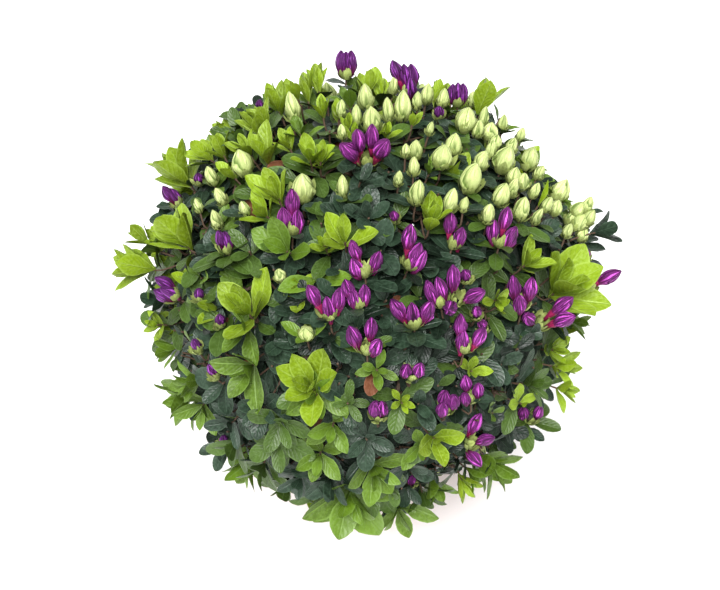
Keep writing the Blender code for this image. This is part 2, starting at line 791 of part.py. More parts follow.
def foliage(growth, profile, home, looks, draw):
    """One mass in one piece: its twigs and core, with the leaves and buds fused on."""
    pieces = collection("pieces_" + growth.mass.name)
    core(growth.mass, growth.planes, pieces, looks["inner_foliage"], draw)
    for number, path in enumerate(growth.paths):
        line = [point for point, _ in path]
        radii = [TWIG_TIP_RADIUS * count**TWIG_THICKENING for _, count in path]
        limb = tube(f"twig_{number}", line, radii, pieces, looks["bark"], profile)
        as_mesh_object(limb, pieces)
    for kind, foot, end in growth.buds:
        bud(kind, foot, end, pieces, looks[kind + "_bud"])
    for shoot, outwards, leaves in growth.rosettes:
        rosette(shoot, outwards, leaves, pieces, looks["foliage"])
    main_twig = pieces.objects["twig_0_mesh"]
    pieces.objects.unlink(main_twig)
    home.objects.link(main_twig)
    main_twig.name = "foliage_" + growth.mass.name
    fused(main_twig, pieces)


def main():
    clear_scene()
    draw = random.Random(SEED)
    home = collection("potted_rhododendron")
    helpers = collection("helpers")
    looks = {name: material(name) for name in LOOKS}
    pot(home, helpers, looks["clay"])
    soil(home, looks["potting_soil"])
    stem(home, looks["bark"])
    masses = crown_masses(draw)
    boughs(masses, home, looks["bark"])
    grown = wood_and_buds(masses, draw)
    add_leaves(grown, [point for mass in masses for point in mass.bough], draw)
    profile = three_sided_profile(helpers)
    for growth in grown:
        foliage(growth, profile, home, looks, draw)


main()
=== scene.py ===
"""Potted rhododendron in bud: a dense globe of small leaves and closed buds, in a clay pot on a pale floor.

The plant grows by one rule. Shoots end all over a globe, twigs gather them back to the boughs, and every
shoot bears its whorl of leaves and its buds. Metres, +Z up.
"""

import json
import math
import random
from collections import namedtuple
from functools import lru_cache
from typing import NamedTuple

import bmesh
import bpy
import numpy as np
from mathutils import Matrix, Vector, noise

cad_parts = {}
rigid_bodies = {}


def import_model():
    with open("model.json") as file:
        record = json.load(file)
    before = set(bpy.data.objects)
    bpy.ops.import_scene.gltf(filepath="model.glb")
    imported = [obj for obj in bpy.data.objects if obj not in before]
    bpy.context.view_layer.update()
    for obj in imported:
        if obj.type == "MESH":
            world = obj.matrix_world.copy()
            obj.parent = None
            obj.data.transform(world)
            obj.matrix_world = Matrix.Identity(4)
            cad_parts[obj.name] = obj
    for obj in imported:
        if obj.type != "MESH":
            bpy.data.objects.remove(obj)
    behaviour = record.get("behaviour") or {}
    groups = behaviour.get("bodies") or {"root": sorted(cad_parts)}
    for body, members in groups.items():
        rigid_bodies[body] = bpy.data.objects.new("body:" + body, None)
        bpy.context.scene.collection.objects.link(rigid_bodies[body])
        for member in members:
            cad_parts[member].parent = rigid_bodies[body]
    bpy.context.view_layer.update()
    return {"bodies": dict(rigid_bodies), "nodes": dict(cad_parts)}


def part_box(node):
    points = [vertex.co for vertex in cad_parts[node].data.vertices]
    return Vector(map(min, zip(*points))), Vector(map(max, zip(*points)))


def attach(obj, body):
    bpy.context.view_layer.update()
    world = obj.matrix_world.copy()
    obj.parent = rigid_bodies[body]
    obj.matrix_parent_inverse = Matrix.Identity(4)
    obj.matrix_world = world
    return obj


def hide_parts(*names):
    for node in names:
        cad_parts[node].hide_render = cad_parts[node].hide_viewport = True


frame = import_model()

bl_info = {
    "name": "Potted rhododendron",
    "version": (1, 0, 0),
    "blender": (4, 5, 0),
    "location": "3D View > Sidebar > Rhododendron",
    "description": "Grows a round small-leaved rhododendron in bud in a clay pot",
    "category": "Object",
}

UP = Vector((0.0, 0.0, 1.0))
RIGHT = Vector((1.0, 0.0, 0.0))
GOLDEN_ANGLE = math.pi * (3.0 - math.sqrt(5.0))
POT_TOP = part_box("pot")[1].z
POT_RIM_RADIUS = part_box("pot")[1].x
SOIL_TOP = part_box("potting_soil")[1].z
FOLIAGE_NODES = sorted(name for name in frame["nodes"] if name.startswith("foliage_"))
BOUGH_NODES = sorted(name for name in frame["nodes"] if name.startswith("bough_"))

# The limbs and the crown's globe, as the solids have them
SEED = 7
GAP = 0.0003
STEM_HEIGHT = 0.046
STEM_LEAN = Vector((0.006, -0.004, 0.0))
FLARE_RADIUS = 0.019
FLARE_HEIGHT = 0.016
WAIST_RADIUS = 0.0095
KNUCKLE_RADIUS = 0.015
ROOT_LOBES = 5
ROOT_LOBE_DEPTH = 0.18
MASS_RINGS = ((1, 0.0, 4.0), (5, 56.0, 44.0), (6, 98.0, 86.0))
MASS_JITTER = 4.0
FRONT = math.radians(-90.0)
BOUGH_REACH = 0.44
BOUGH_ROOT_RADIUS = 0.0046
BOUGH_TIP_RADIUS = 0.0026
BOUGH_SEAT = 0.005
BOUGH_SWAY = 0.36
CROWN_RADIUS = 0.200
CROWN_CENTRE = Vector((0.0, 0.0, POT_TOP + 0.120))
CROWN_LOWEST = -0.62
CROWN_TUCK = 0.10
BROAD_LOBES = (3, 0.022, 0.4)
FINE_LOBES = (5, 0.018, 4.0)
OUTWARD_SHARE = 0.62
UPWARD_SHARE = 0.50
AXIS_JITTER = 0.16
SHOOT_LENGTH = 0.016
TWIG_FORK_STEP = 0.42
TWIG_FORK_PLACE = 0.85
TWIG_SPLIT = (0.36, 0.64)

# The finer growth of the limbs
BOUGH_POINTS = 24
BOUGH_SUNK = 0.003
BOUGH_SWELL = 1.25
TIP_PLACES = 3600
TIP_STRAY = 0.035
LAST_FORK_DEPTH = 0.76
TWIG_SUNK = 0.002
TWIG_TIP_RADIUS = 0.0008
TWIG_THICKENING = 0.30
TWIG_KINK = 0.0022

# Leaves: their kinds, what they keep off, and how they vary by chance
WHORL_KINDS = ("lime", "fresh", "mid", "dark", "old")
LEAF_KINDS = (*WHORL_KINDS, "russet")
RUSSET_SHARE = 0.014
POT_MARGIN = 0.002
LEAF_CLEARANCE = 0.0045
LEAF_UPTURN = 0.35
LEAF_WIDTHS = (0.9, 1.1)
LEAF_FOLDS = (0.6, 1.4)
DROOP_STRAY = 0.22
# Share of its full width that the shortest leaf has, and what its length adds
WIDTH_BY_LENGTH = (0.78, 0.22)
SHORTEST_FULL_LEAF = 0.020

# The whorl at a shoot's tip. Rosettes above a size have more leaves
LARGE_ROSETTE = 1.25
MORE_LEAVES = 3
WHORL_START = 0.0008
WHORL_STEP = 0.0011
WHORL_LENGTHS = (0.88, 1.1)
WHORL_EASE = 0.8
WHORL_TILT_STRAY = 7.0
WHORL_TURN_STRAY = 0.25
# Length of the innermost leaf, what is added further out, and how soon all of it is
WHORL_GROWTH = (0.66, 0.34, 1.8)
# Least angles of the innermost and the outermost leaf round buds
BUDDED_ANGLES = (58.0, 84.0)

# The older leaves below the whorl, and the scales at the foot of buds
OLDER_START = 0.011
OLDER_STEP = 0.0055
OLDER_TILTS = (0.78, 1.0)
OLDER_LENGTHS = (0.8, 1.1)
SCALE_SUNK = 0.0018
SCALE_LENGTHS = (0.8, 1.15)

# Trusses that the view shows
BUD_KINDS = ("purple", "violet", "green")
TRUSS_WIDTH = 0.0055
TRUSS_GATHERED = 0.34
PLACED_LENGTHS = (0.95, 1.05)
PLACED_GIRTHS = (0.93, 1.07)
# Powers by which the girth of the buds follows the size of a small and of a large truss
SMALL_TRUSS_GIRTH = 0.5
LARGE_TRUSS_GIRTH = 0.15
# Least length of a bud for how far off the view shows its middle, and its most for its own length
LENGTH_FOR_SHIFT = 1.35
MOST_STRETCH = 1.15
# Least turn of a bud towards the view
LEAST_TURN = 0.28
# The claw is bare on buds longer than this for their radius: how soon, and its most
SLIM_BUD = 4.3
CLAW_GROWTH = 0.2
LONGEST_CLAW = 0.28
# Trusses further left or up than this in the view are more violet
VIOLET_ACROSS = 245
VIOLET_DOWN = 125

# Green buds and young rosettes that the view shows
GREEN_FURTHER_OUT = 0.04
GREEN_UPRIGHT = 0.6
GREEN_END_SHOWN = 0.35
GREEN_GIRTH = 0.46
BUDDED_SIZE = 0.9
# How far over its foot a rosette points in the view, for an axis that leans halfway over
AIM_REACH = 0.034
# Rosettes more open than this turn their face to the view, by so much
OPEN_ROSETTE = 0.9
OPEN_FACING = 4.0

# Free shoots between the placed ones and on the hidden sides
FREE_SIZES = (0.85, 1.12)
FREE_OPENINGS = (0.85, 1.2)
INNER_SIZES = (0.9, 1.1)
# Hidden shoots with buds: how far round they start, their share, and how much it changes from side to side
HIDDEN_PURPLE = (-0.22, 0.26, 0.3)
HIDDEN_GREEN = (-0.06, 0.44, -0.4)
SIDE_GRAIN = 9.0
HIDDEN_COUNTS = (2, 4)
HIDDEN_SIZES = (0.8, 1.05)
HIDDEN_LENGTHS = (0.95, 1.2)
HIDDEN_GIRTHS = (0.9, 1.1)
HIDDEN_SPREAD = 20.0
HIDDEN_SPREADS = (0.7, 1.2)
HIDDEN_CLAW = 0.004
HIDDEN_GREEN_LENGTHS = (0.8, 1.15)

# Parts of the crown in the view: where they begin, and how far the left and the lower one wander
LEFT_ACROSS = 235.0
LOW_DOWN = 405.0
TOP_DOWN = 185
PART_STRAY = 25.0
HIDDEN_FACING = 0.05

# What leaves keep clear of in the view: points along buds and placed leaves, and by how much
BUD_POINTS = (0.15, 0.5, 0.9)
BUD_MIDDLE = 0.5
BUD_CLEAR_PIXELS = 1.5
SHOWN_POINTS = (0.45, 0.8)
SHOWN_DEPTH = 0.002
FILLED_POINTS = (0.3, 0.6, 0.9)
FILLED_WIDTH = 0.42
RIB_POINTS = (0.25, 0.45, 0.65, 0.85, 1.0)
EDGE_POINT = 0.6
EDGE_WIDTH = 0.36

# The line of sight, for what is placed as it is seen from there
SIGHT_ROUNDS = 4
SIGHT_DISTANCE = 1.0
SIGHT_ANGLE = math.radians(56.0)
SIGHT_PIXELS = 1166.0
FRAME_WIDTH = 720
FRAME_HEIGHT = 590
CROWN_MIDDLE_PIXEL = (364.0, 292.0)
TOWARD_VIEW = Vector((0.0, -math.cos(SIGHT_ANGLE), math.sin(SIGHT_ANGLE)))
VIEW_UP = Vector((0.0, math.sin(SIGHT_ANGLE), math.cos(SIGHT_ANGLE)))

# Purple trusses in the view: foot, size of the buds, and the middle of each bud
PURPLE_TRUSSES = (
    ((346, 84), 1.05, ((341, 64), (351, 64), (346, 65))),
    ((409, 101), 1.0, ((396, 73), (405, 77), (412, 77), (410, 90))),
    ((367, 170), 1.45, ((350, 157), (358, 147), (371, 143), (380, 155))),
    ((182, 210), 0.85, ((169, 195), (176, 197))),
    ((293, 242), 1.0, ((292, 204), (284, 221), (297, 223))),
    ((228, 256), 0.8, ((221, 241), (227, 242))),
    ((260, 112), 0.45, ((260, 105),)),
    ((181, 300), 0.95, ((166, 284), (171, 294), (164, 296))),
    ((365, 281), 0.9, ((354, 252), (355, 270), (375, 264))),
    ((330, 325), 0.95, ((313, 297), (328, 310), (338, 301))),
    ((358, 312), 0.8, ((347, 290), (353, 300), (364, 296))),
    ((366, 358), 0.95, ((353, 338), (370, 330), (375, 348))),
    ((377, 422), 0.85, ((374, 409), (381, 409))),
    ((199, 354), 0.6, ((196, 345),)),
    ((217, 381), 0.6, ((212, 371),)),
    ((220, 328), 0.55, ((220, 320),)),
    ((224, 446), 0.5, ((224, 439),)),
    ((199, 302), 0.5, ((199, 294),)),
    ((414, 333), 1.0, ((397, 311), (412, 316), (426, 313))),
    ((454, 305), 1.15, ((452, 280), (472, 297), (448, 309))),
    ((442, 312), 1.0, ((430, 294), (440, 290))),
    ((476, 320), 0.6, ((475, 312),)),
    ((462, 358), 0.9, ((459, 326), (461, 342), (478, 338))),
    ((484, 333), 0.5, ((481, 325),)),
    ((521, 314), 1.0, ((513, 289), (529, 290), (518, 305))),
    ((534, 329), 1.55, ((526, 321), (556, 309), (557, 322))),
    ((580, 293), 1.70, ((602, 280),)),
    ((410, 381), 0.75, ((405, 371), (418, 370))),
    ((470, 404), 0.7, ((465, 384), (477, 391), (464, 399))),
    ((445, 415), 0.85, ((443, 398), (452, 402), (441, 409))),
    ((464, 447), 0.95, ((474, 424), (484, 440), (473, 458))),
    ((529, 423), 0.8, ((522, 413), (537, 412))),
    ((411, 488), 0.5, ((411, 480),)),
    ((406, 275), 1.0, ((408, 239), (415, 256), (418, 263))),
    ((451, 254), 0.85, ((449, 225), (459, 239))),
    ((497, 252), 1.0, ((504, 220), (492, 233), (509, 239))),
    ((457, 109), 0.9, ((452, 95), (462, 95), (457, 94))),
    ((438, 120), 0.55, ((438, 113),)),
    ((394, 224), 0.5, ((393, 217),)),
    ((586, 262), 0.5, ((585, 254),)),
    ((200, 186), 0.5, ((199, 179),)),
    ((466, 284), 0.6, ((464, 276),)),
)
# Green buds in the view: middle across and down, width and height
GREEN_BUDS = (
    (365, 96, 17, 25), (394, 84, 10, 20), (387, 109, 13, 26), (402, 105, 18, 30), (371, 119, 20, 26),
    (427, 93, 13, 20), (443, 97, 13, 18), (466, 119, 22, 25), (484, 116, 11, 20), (490, 131, 17, 19),
    (495, 142, 14, 16), (415, 149, 15, 19), (413, 166, 12, 19), (442, 156, 23, 25), (453, 144, 17, 23),
    (471, 177, 24, 31), (482, 160, 16, 20), (491, 149, 12, 18), (505, 159, 23, 28), (530, 158, 18, 24),
    (417, 192, 17, 25), (451, 200, 16, 25), (502, 194, 18, 24), (513, 187, 12, 20), (522, 181, 17, 18),
    (522, 208, 17, 24), (488, 213, 15, 20), (561, 190, 19, 25), (538, 216, 10, 18), (579, 209, 15, 18),
    (588, 204, 12, 17), (581, 222, 20, 21), (291, 106, 16, 29), (241, 162, 22, 27), (210, 175, 13, 19),
    (219, 196, 12, 18), (215, 219, 12, 24), (243, 208, 12, 15), (302, 187, 25, 29), (342, 186, 13, 29),
    (197, 205, 9, 14), (279, 275, 13, 14), (305, 333, 17, 14), (341, 131, 10, 14), (521, 134, 10, 14),
    (472, 98, 9, 14), (548, 204, 12, 16), (514, 175, 14, 17), (535, 190, 11, 16), (556, 207, 14, 16),
    (572, 217, 13, 17), (568, 230, 11, 15), (590, 217, 13, 17), (583, 234, 13, 14), (478, 128, 12, 17),
    (503, 122, 11, 16), (512, 145, 12, 16), (540, 172, 11, 15), (464, 204, 10, 15), (398, 178, 10, 15),
    (405, 150, 10, 13), (430, 128, 9, 13), (349, 150, 9, 12), (356, 114, 12, 19), (341, 108, 11, 17),
    (417, 100, 11, 17),
)
# Young rosettes in the view: foot, where they point, both across and down, size, how open, colour
# Some low rosettes have darker colours, partly as painted shade on the crown's underside
YOUNG_ROSETTES = (
    (184, 176, 180, 142, 1.40, 0.9, "lime"), (182, 240, 172, 204, 1.40, 0.8, "lime"),
    (162, 245, 156, 236, 0.85, 1.2, "lime"), (144, 240, 136, 214, 0.80, 0.8, "lime"),
    (142, 268, 114, 264, 1.30, 0.9, "lime"), (221, 152, 216, 126, 0.85, 0.8, "lime"),
    (206, 156, 192, 146, 0.85, 0.8, "lime"), (265, 158, 258, 124, 1.15, 0.9, "lime"),
    (247, 150, 238, 130, 0.80, 0.9, "lime"), (278, 108, 272, 82, 1.05, 1.0, "lime"),
    (319, 88, 324, 62, 0.95, 0.5, "lime"), (278, 199, 266, 166, 1.15, 0.8, "lime"),
    (286, 252, 262, 236, 1.25, 1.1, "fresh"), (344, 243, 346, 216, 1.10, 1.0, "lime"),
    (247, 314, 232, 268, 1.42, 1.06, "lime"), (242, 330, 222, 334, 1.15, 1.0, "fresh"),
    (311, 388, 303, 352, 1.30, 1.02, "lime"), (316, 396, 322, 412, 0.95, 1.2, "fresh"),
    (555, 292, 564, 250, 1.80, 1.22, "lime"), (526, 264, 528, 236, 0.95, 1.0, "lime"),
    (538, 206, 540, 172, 1.10, 0.8, "lime"), (480, 106, 480, 72, 1.20, 0.8, "lime"),
    (430, 222, 432, 182, 1.00, 0.7, "lime"), (369, 90, 370, 66, 0.90, 1.0, "lime"),
    (436, 98, 435, 72, 0.75, 0.5, "lime"), (434, 439, 452, 432, 1.25, 1.2, "lime"),
    (479, 460, 506, 462, 1.25, 0.9, "fresh"), (470, 472, 488, 478, 0.90, 0.9, "fresh"),
    (521, 404, 524, 390, 0.75, 1.3, "lime"), (553, 350, 562, 340, 0.80, 1.2, "lime"),
    (560, 368, 576, 364, 0.85, 1.0, "lime"), (529, 384, 530, 366, 0.95, 0.6, "mid"),
    (374, 470, 394, 472, 1.15, 1.0, "fresh"), (350, 492, 350, 512, 1.70, 1.05, "fresh"),
    (398, 509, 402, 524, 1.25, 1.1, "fresh"), (434, 486, 442, 504, 0.90, 0.9, "fresh"),
    (462, 482, 470, 496, 0.80, 0.9, "lime"), (276, 442, 262, 444, 1.10, 1.2, "mid"),
    (280, 424, 296, 436, 1.10, 1.0, "mid"), (332, 427, 332, 442, 0.95, 1.1, "fresh"),
    (319, 456, 310, 464, 1.00, 1.2, "fresh"), (250, 368, 242, 388, 1.25, 0.9, "fresh"),
    (188, 396, 166, 404, 1.20, 0.9, "fresh"), (192, 382, 174, 376, 0.95, 0.9, "fresh"),
    (202, 408, 224, 412, 1.00, 1.0, "fresh"), (234, 444, 222, 460, 0.95, 0.7, "mid"),
    (250, 462, 238, 480, 1.20, 0.7, "fresh"), (157, 325, 152, 318, 0.60, 1.2, "lime"),
    (171, 350, 158, 352, 0.85, 0.8, "fresh"), (494, 466, 512, 478, 1.05, 0.8, "fresh"),
    (499, 306, 497, 288, 0.75, 0.8, "lime"), (471, 372, 470, 362, 0.65, 1.2, "lime"),
    (376, 371, 376, 364, 0.60, 1.3, "fresh"), (401, 404, 401, 398, 0.50, 1.2, "lime"),
    (347, 404, 347, 398, 0.60, 1.3, "mid"), (420, 448, 414, 456, 0.80, 1.2, "fresh"),
    (300, 480, 292, 494, 1.05, 1.0, "dark"), (366, 440, 366, 448, 0.95, 1.3, "dark"),
    (330, 480, 318, 500, 1.15, 0.9, "dark"), (262, 410, 258, 420, 1.00, 1.2, "dark"),
    (408, 470, 412, 482, 0.95, 1.1, "dark"), (498, 300, 492, 290, 0.60, 1.0, "lime"),
    (310, 160, 311, 138, 0.85, 1.0, "lime"), (264, 122, 256, 102, 0.85, 0.8, "lime"),
    (308, 96, 309, 68, 0.85, 0.5, "lime"), (262, 214, 248, 196, 0.85, 0.8, "lime"),
    (240, 142, 238, 118, 0.70, 0.7, "mid"), (386, 134, 388, 124, 0.55, 1.0, "lime"),
    (350, 104, 352, 82, 0.75, 0.9, "fresh"), (412, 122, 414, 108, 0.55, 0.8, "lime"),
    (324, 246, 322, 232, 0.55, 0.9, "lime"), (338, 116, 340, 98, 0.65, 0.6, "lime"),
    (322, 112, 319, 94, 0.65, 0.6, "lime"), (348, 126, 353, 108, 0.55, 0.5, "lime"),
    (574, 322, 588, 322, 0.80, 0.9, "fresh"), (600, 232, 612, 230, 0.90, 0.6, "dark"),
    (160, 300, 142, 304, 1.00, 0.8, "dark"), (562, 390, 574, 392, 0.80, 1.0, "lime"),
    (376, 490, 378, 512, 1.20, 1.1, "mid"), (388, 500, 386, 518, 1.05, 1.0, "dark"),
    (320, 496, 312, 514, 1.10, 1.0, "mid"), (422, 494, 426, 512, 1.05, 0.9, "mid"),
    (452, 98, 452, 74, 0.65, 0.45, "lime"), (382, 94, 384, 72, 0.70, 0.6, "lime"),
    (254, 128, 248, 108, 0.80, 0.7, "lime"), (500, 118, 504, 100, 0.60, 0.6, "mid"),
    (232, 176, 226, 160, 0.70, 0.9, "lime"), (320, 160, 328, 144, 0.70, 0.9, "lime"),
    (262, 468, 250, 490, 1.05, 0.9, "mid"), (286, 484, 276, 506, 1.05, 0.9, "mid"),
    (230, 424, 212, 440, 0.95, 1.0, "dark"), (222, 384, 206, 392, 1.10, 1.2, "dark"),
    (354, 136, 362, 124, 0.60, 0.8, "lime"), (430, 170, 434, 156, 0.60, 0.8, "fresh"),
    (300, 134, 296, 118, 0.75, 0.9, "fresh"), (288, 146, 282, 132, 0.70, 0.9, "lime"),
    (406, 486, 410, 504, 1.05, 1.15, "dark"), (392, 484, 386, 498, 0.95, 1.1, "mid"),
)


class LeafForm(NamedTuple):
    """How the leaves of one colour stand round their shoot. Lengths in metres, angles in degrees."""

    length: float
    width: float
    inner: float
    outer: float
    droop: float
    fold: float
    count: int
    below: int


LEAF_FORMS = {
    "lime": LeafForm(0.0280, 0.46, 12.0, 56.0, -0.20, 0.36, 7, 2),
    "fresh": LeafForm(0.0280, 0.46, 18.0, 64.0, 0.05, 0.32, 7, 3),
    "mid": LeafForm(0.0290, 0.47, 30.0, 76.0, 0.30, 0.24, 7, 3),
    "dark": LeafForm(0.0270, 0.50, 28.0, 72.0, 0.20, 0.22, 8, 4),
    "old": LeafForm(0.0245, 0.50, 36.0, 84.0, 0.35, 0.16, 8, 4),
    "russet": LeafForm(0.0245, 0.50, 36.0, 84.0, 0.45, 0.30, 8, 4),
}
# Colour of the leaves below the whorl, for each colour of whorl
OLDER = {"lime": "mid", "fresh": "dark", "mid": "dark", "dark": "old", "old": "old"}
# Shares of lime, fresh, mid, dark and old leaves in each part of the crown, where the view places nothing
# The low part leans to dark and old leaves and the top to light ones: partly their real mix, partly painted
# shade below and painted light above
SHARES = {
    "middle": (0.02, 0.03, 0.10, 0.50, 0.35),
    "left": (0.08, 0.10, 0.24, 0.38, 0.20),
    "low": (0.03, 0.06, 0.05, 0.36, 0.50),
    "top": (0.22, 0.20, 0.28, 0.24, 0.06),
    "hidden": (0.24, 0.12, 0.18, 0.30, 0.16),
}


class ScaleForm(NamedTuple):
    """The scales at the foot of buds: how many, how they stand and bend, and for which radius of bud."""

    count: int
    inner: float
    outer: float
    length: float
    width: float
    droop: float
    fold: float
    ring: float
    bud_radius: float


SCALE_FORMS = {
    "purple": ScaleForm(14, 18.0, 68.0, 0.0108, 0.54, -1.1, 0.25, 0.0030, 0.0047),
    "green": ScaleForm(9, 38.0, 62.0, 0.0132, 0.56, -1.0, 0.25, 0.0044, 0.0077),
}


class Shoot(NamedTuple):
    """Where a shoot ends and points, what it bears, and whether the view places it."""

    tip: Vector
    axis: Vector
    leaf: str
    size: float
    open: float
    buds: tuple
    kind: str
    seen: bool


class Mass(NamedTuple):
    """A part of the crown: which way it lies from the middle, and the points of its bough."""

    heading: Vector
    bough: list


class Blade(NamedTuple):
    """A leaf or a scale: where it starts, which way it runs and faces, and its own size and bend."""

    foot: Vector
    along: Vector
    face: Vector
    length: float
    width: float
    droop: float
    fold: float
    tone: float


class Bud(NamedTuple):
    """A closed bud on its claw: where the claw starts, where the bud does, and its point."""

    foot: Vector
    start: Vector
    end: Vector
    radius: float
    tone: float


class Growth(NamedTuple):
    """All that the plant grows: the paths of its twigs, its leaves and buds by kind, and its bud scales."""

    paths: list
    leaves: dict
    buds: dict
    scales: list


class Surroundings(NamedTuple):
    """What a leaf keeps clear of, in rows of numbers. Buds: point and shoot. Leaves: point and how far off.

    Marks in the view: across, down, distance, pixels to keep off, shoot, and 1 for the middle of a bud.
    """

    buds: np.ndarray
    leaves: np.ndarray
    marks: np.ndarray


def direction(angle_from_up, azimuth):
    """Unit vector at an angle from straight up, turned by an azimuth about Z, both in radians."""
    return Vector((
        math.sin(angle_from_up) * math.cos(azimuth),
        math.sin(angle_from_up) * math.sin(azimuth),
        math.cos(angle_from_up),
    ))


def reach(heading):
    """How far the crown goes towards a heading: a globe with slight lobes, tucked in below."""
    azimuth = math.atan2(heading.y, heading.x)
    number, depth, turn = BROAD_LOBES
    lobes = depth * math.sin(number * azimuth + turn) * math.hypot(heading.x, heading.y)
    number, depth, twist = FINE_LOBES
    lobes += depth * math.sin(number * azimuth + twist * heading.z)
    tuck = CROWN_TUCK * max(0.0, -heading.z) ** 2
    return CROWN_RADIUS * (1.0 + lobes - tuck)


def seen_at(across, down, depth_share):
    """Where the line of sight through a pixel meets a share of the crown's reach, or is nearest to it."""
    slope_x = (across - CROWN_MIDDLE_PIXEL[0]) / SIGHT_PIXELS
    slope_y = (CROWN_MIDDLE_PIXEL[1] - down) / SIGHT_PIXELS
    sight = (RIGHT * slope_x + VIEW_UP * slope_y - TOWARD_VIEW).normalized()
    eye = TOWARD_VIEW * SIGHT_DISTANCE
    nearest = eye - sight * eye.dot(sight)
    depth = CROWN_RADIUS * depth_share
    found = nearest
    for _ in range(SIGHT_ROUNDS):
        found = nearest - sight * math.sqrt(max(0.0, depth**2 - nearest.length_squared))
        depth = reach(found.normalized()) * depth_share
    return found + CROWN_CENTRE


def pixel_of(point):
    """Where the view shows a point: across, down and its distance along the line of sight."""
    offset = point - CROWN_CENTRE
    distance = SIGHT_DISTANCE - offset.dot(TOWARD_VIEW)
    across = CROWN_MIDDLE_PIXEL[0] + SIGHT_PIXELS * offset.x / distance
    down = CROWN_MIDDLE_PIXEL[1] - SIGHT_PIXELS * offset.dot(VIEW_UP) / distance
    return across, down, distance


def shoot_axis(tip, draw):
    """A shoot points between outwards and up, a little off by chance."""
    outward = (tip - CROWN_CENTRE).normalized()
    stray = Vector([draw.uniform(-AXIS_JITTER, AXIS_JITTER) for _ in range(3)])
    return (outward * OUTWARD_SHARE + UP * UPWARD_SHARE + stray).normalized()


def turned_side(axis, turn):
    """The unit vector square to an axis, turned about it."""
    side = axis.orthogonal().normalized()
    side.rotate(Matrix.Rotation(turn, 3, axis))
    return side


def facing_view(place):
    """How far a place on the crown faces the view: 1 straight at it, 0 at the outline, less behind."""
    return (place - CROWN_CENTRE).normalized().dot(TOWARD_VIEW)


def knuckle():
    """Middle of the knuckle on top of the stem."""
    return Vector((0.0, 0.0, SOIL_TOP + GAP + STEM_HEIGHT)) + STEM_LEAN


def bough_line(heading, spring, steps):
    """Points of a bough's axis, from its seat on the knuckle in a smooth bend to where its mass begins."""
    root = knuckle() + spring * (KNUCKLE_RADIUS + GAP)
    start = root + spring * BOUGH_SEAT
    end = CROWN_CENTRE + heading * CROWN_RADIUS * BOUGH_REACH
    sway = (end - start).length * BOUGH_SWAY
    first, second = start + spring * sway, end - heading * sway
    points = [root]
    for i in range(steps):
        t = i / (steps - 1)
        s = 1.0 - t
        points.append(start * s**3 + first * 3 * s**2 * t + second * 3 * s * t**2 + end * t**3)
    return points


def crown_masses(steps):
    """The heading and the bough of each mass, ring by ring, as the solids have them."""
    draw = random.Random(SEED)
    masses = []
    for count, angle, spring_angle in MASS_RINGS:
        for i in range(count):
            azimuth = FRONT + math.tau * i / count + math.radians(draw.uniform(-MASS_JITTER, MASS_JITTER))
            tilt = math.radians(angle + draw.uniform(-MASS_JITTER, MASS_JITTER))
            heading = direction(tilt, azimuth)
            spring = direction(math.radians(spring_angle), azimuth)
            masses.append(Mass(heading, bough_line(heading, spring, steps)))
    return masses


def shift_in_view(point, pixel):
    """How far a pixel lies from a point in the view, as a vector across the sight at the point's depth."""
    across, down, distance = pixel_of(point)
    scale = distance / SIGHT_PIXELS
    return RIGHT * (pixel[0] - across) * scale + VIEW_UP * (down - pixel[1]) * scale


def placed_bud(tip, shift, mean, length, radius, draw):
    """A bud of a truss, turned so that its middle lies at a shift from the truss's tip in the view."""
    apart = shift - mean
    apart *= min(1.0, TRUSS_WIDTH / max(apart.length, 1e-6))
    foot = tip + apart
    sideways = shift - apart
    flat = sideways.length
    own = length * draw.uniform(*PLACED_LENGTHS)
    own = min(max(own, flat * LENGTH_FOR_SHIFT), own * MOST_STRETCH)
    half = own / 2
    toward = math.sqrt(max(half**2 - flat**2, (flat * LEAST_TURN) ** 2))
    along = (sideways + TOWARD_VIEW * toward).normalized()
    start = max(0.0, math.hypot(flat, toward) - half)
    end = foot + along * (start + own)
    bare = own * min(LONGEST_CLAW, max(0.0, own / radius - SLIM_BUD) * CLAW_GROWTH)
    girth = radius * draw.uniform(*PLACED_GIRTHS)
    return Bud(foot, foot + along * (start + bare), end, girth, draw.random())


def placed_trusses(buds, crown, draw):
    """The shoots that the view shows as purple trusses."""
    shoots = []
    for foot, size, middles in PURPLE_TRUSSES:
        across, down = (
            start + (sum(middle[i] for middle in middles) / len(middles) - start) * TRUSS_GATHERED
            for i, start in enumerate(foot)
        )
        tip = seen_at(across, down, crown.bud_depth)
        length = buds.purple_length * size
        radius = buds.purple_radius * min(size**SMALL_TRUSS_GIRTH, size**LARGE_TRUSS_GIRTH)
        shifts = [shift_in_view(tip, middle) for middle in middles]
        mean = sum(shifts, Vector()) / len(shifts)
        own = tuple(placed_bud(tip, shift, mean, length, radius, draw) for shift in shifts)
        axis = shoot_axis(tip, draw)
        axis = sum(((bud.end - bud.foot).normalized() for bud in own), axis).normalized()
        leaf = draw.choice(("dark", "dark", "old", "mid"))
        kind = "violet" if across < VIOLET_ACROSS or down < VIOLET_DOWN else "purple"
        shoots.append(Shoot(tip, axis, leaf, 1.0, 1.0, own, kind, True))
    return shoots


def placed_green_buds(buds, crown, draw):
    """The shoots that the view shows as green buds."""
    shoots = []
    for across, down, width, height in GREEN_BUDS:
        middle = seen_at(across, down, crown.bud_depth + GREEN_FURTHER_OUT)
        axis = (shoot_axis(middle, draw) + VIEW_UP * GREEN_UPRIGHT).normalized()
        scale = pixel_of(middle)[2] / SIGHT_PIXELS
        end_on = width * scale * abs(axis.dot(TOWARD_VIEW)) * GREEN_END_SHOWN
        length = (height * scale - end_on) / axis.cross(TOWARD_VIEW).length
        length = min(length, buds.green_longest * width * scale)
        foot = middle - axis * length * 0.5
        bud = Bud(foot, foot, foot + axis * length, width * scale * GREEN_GIRTH, draw.random())
        leaf = draw.choice(("dark", "mid", "dark", "fresh"))
        shoots.append(Shoot(foot, axis, leaf, BUDDED_SIZE, 1.0, (bud,), "green", True))
    return shoots


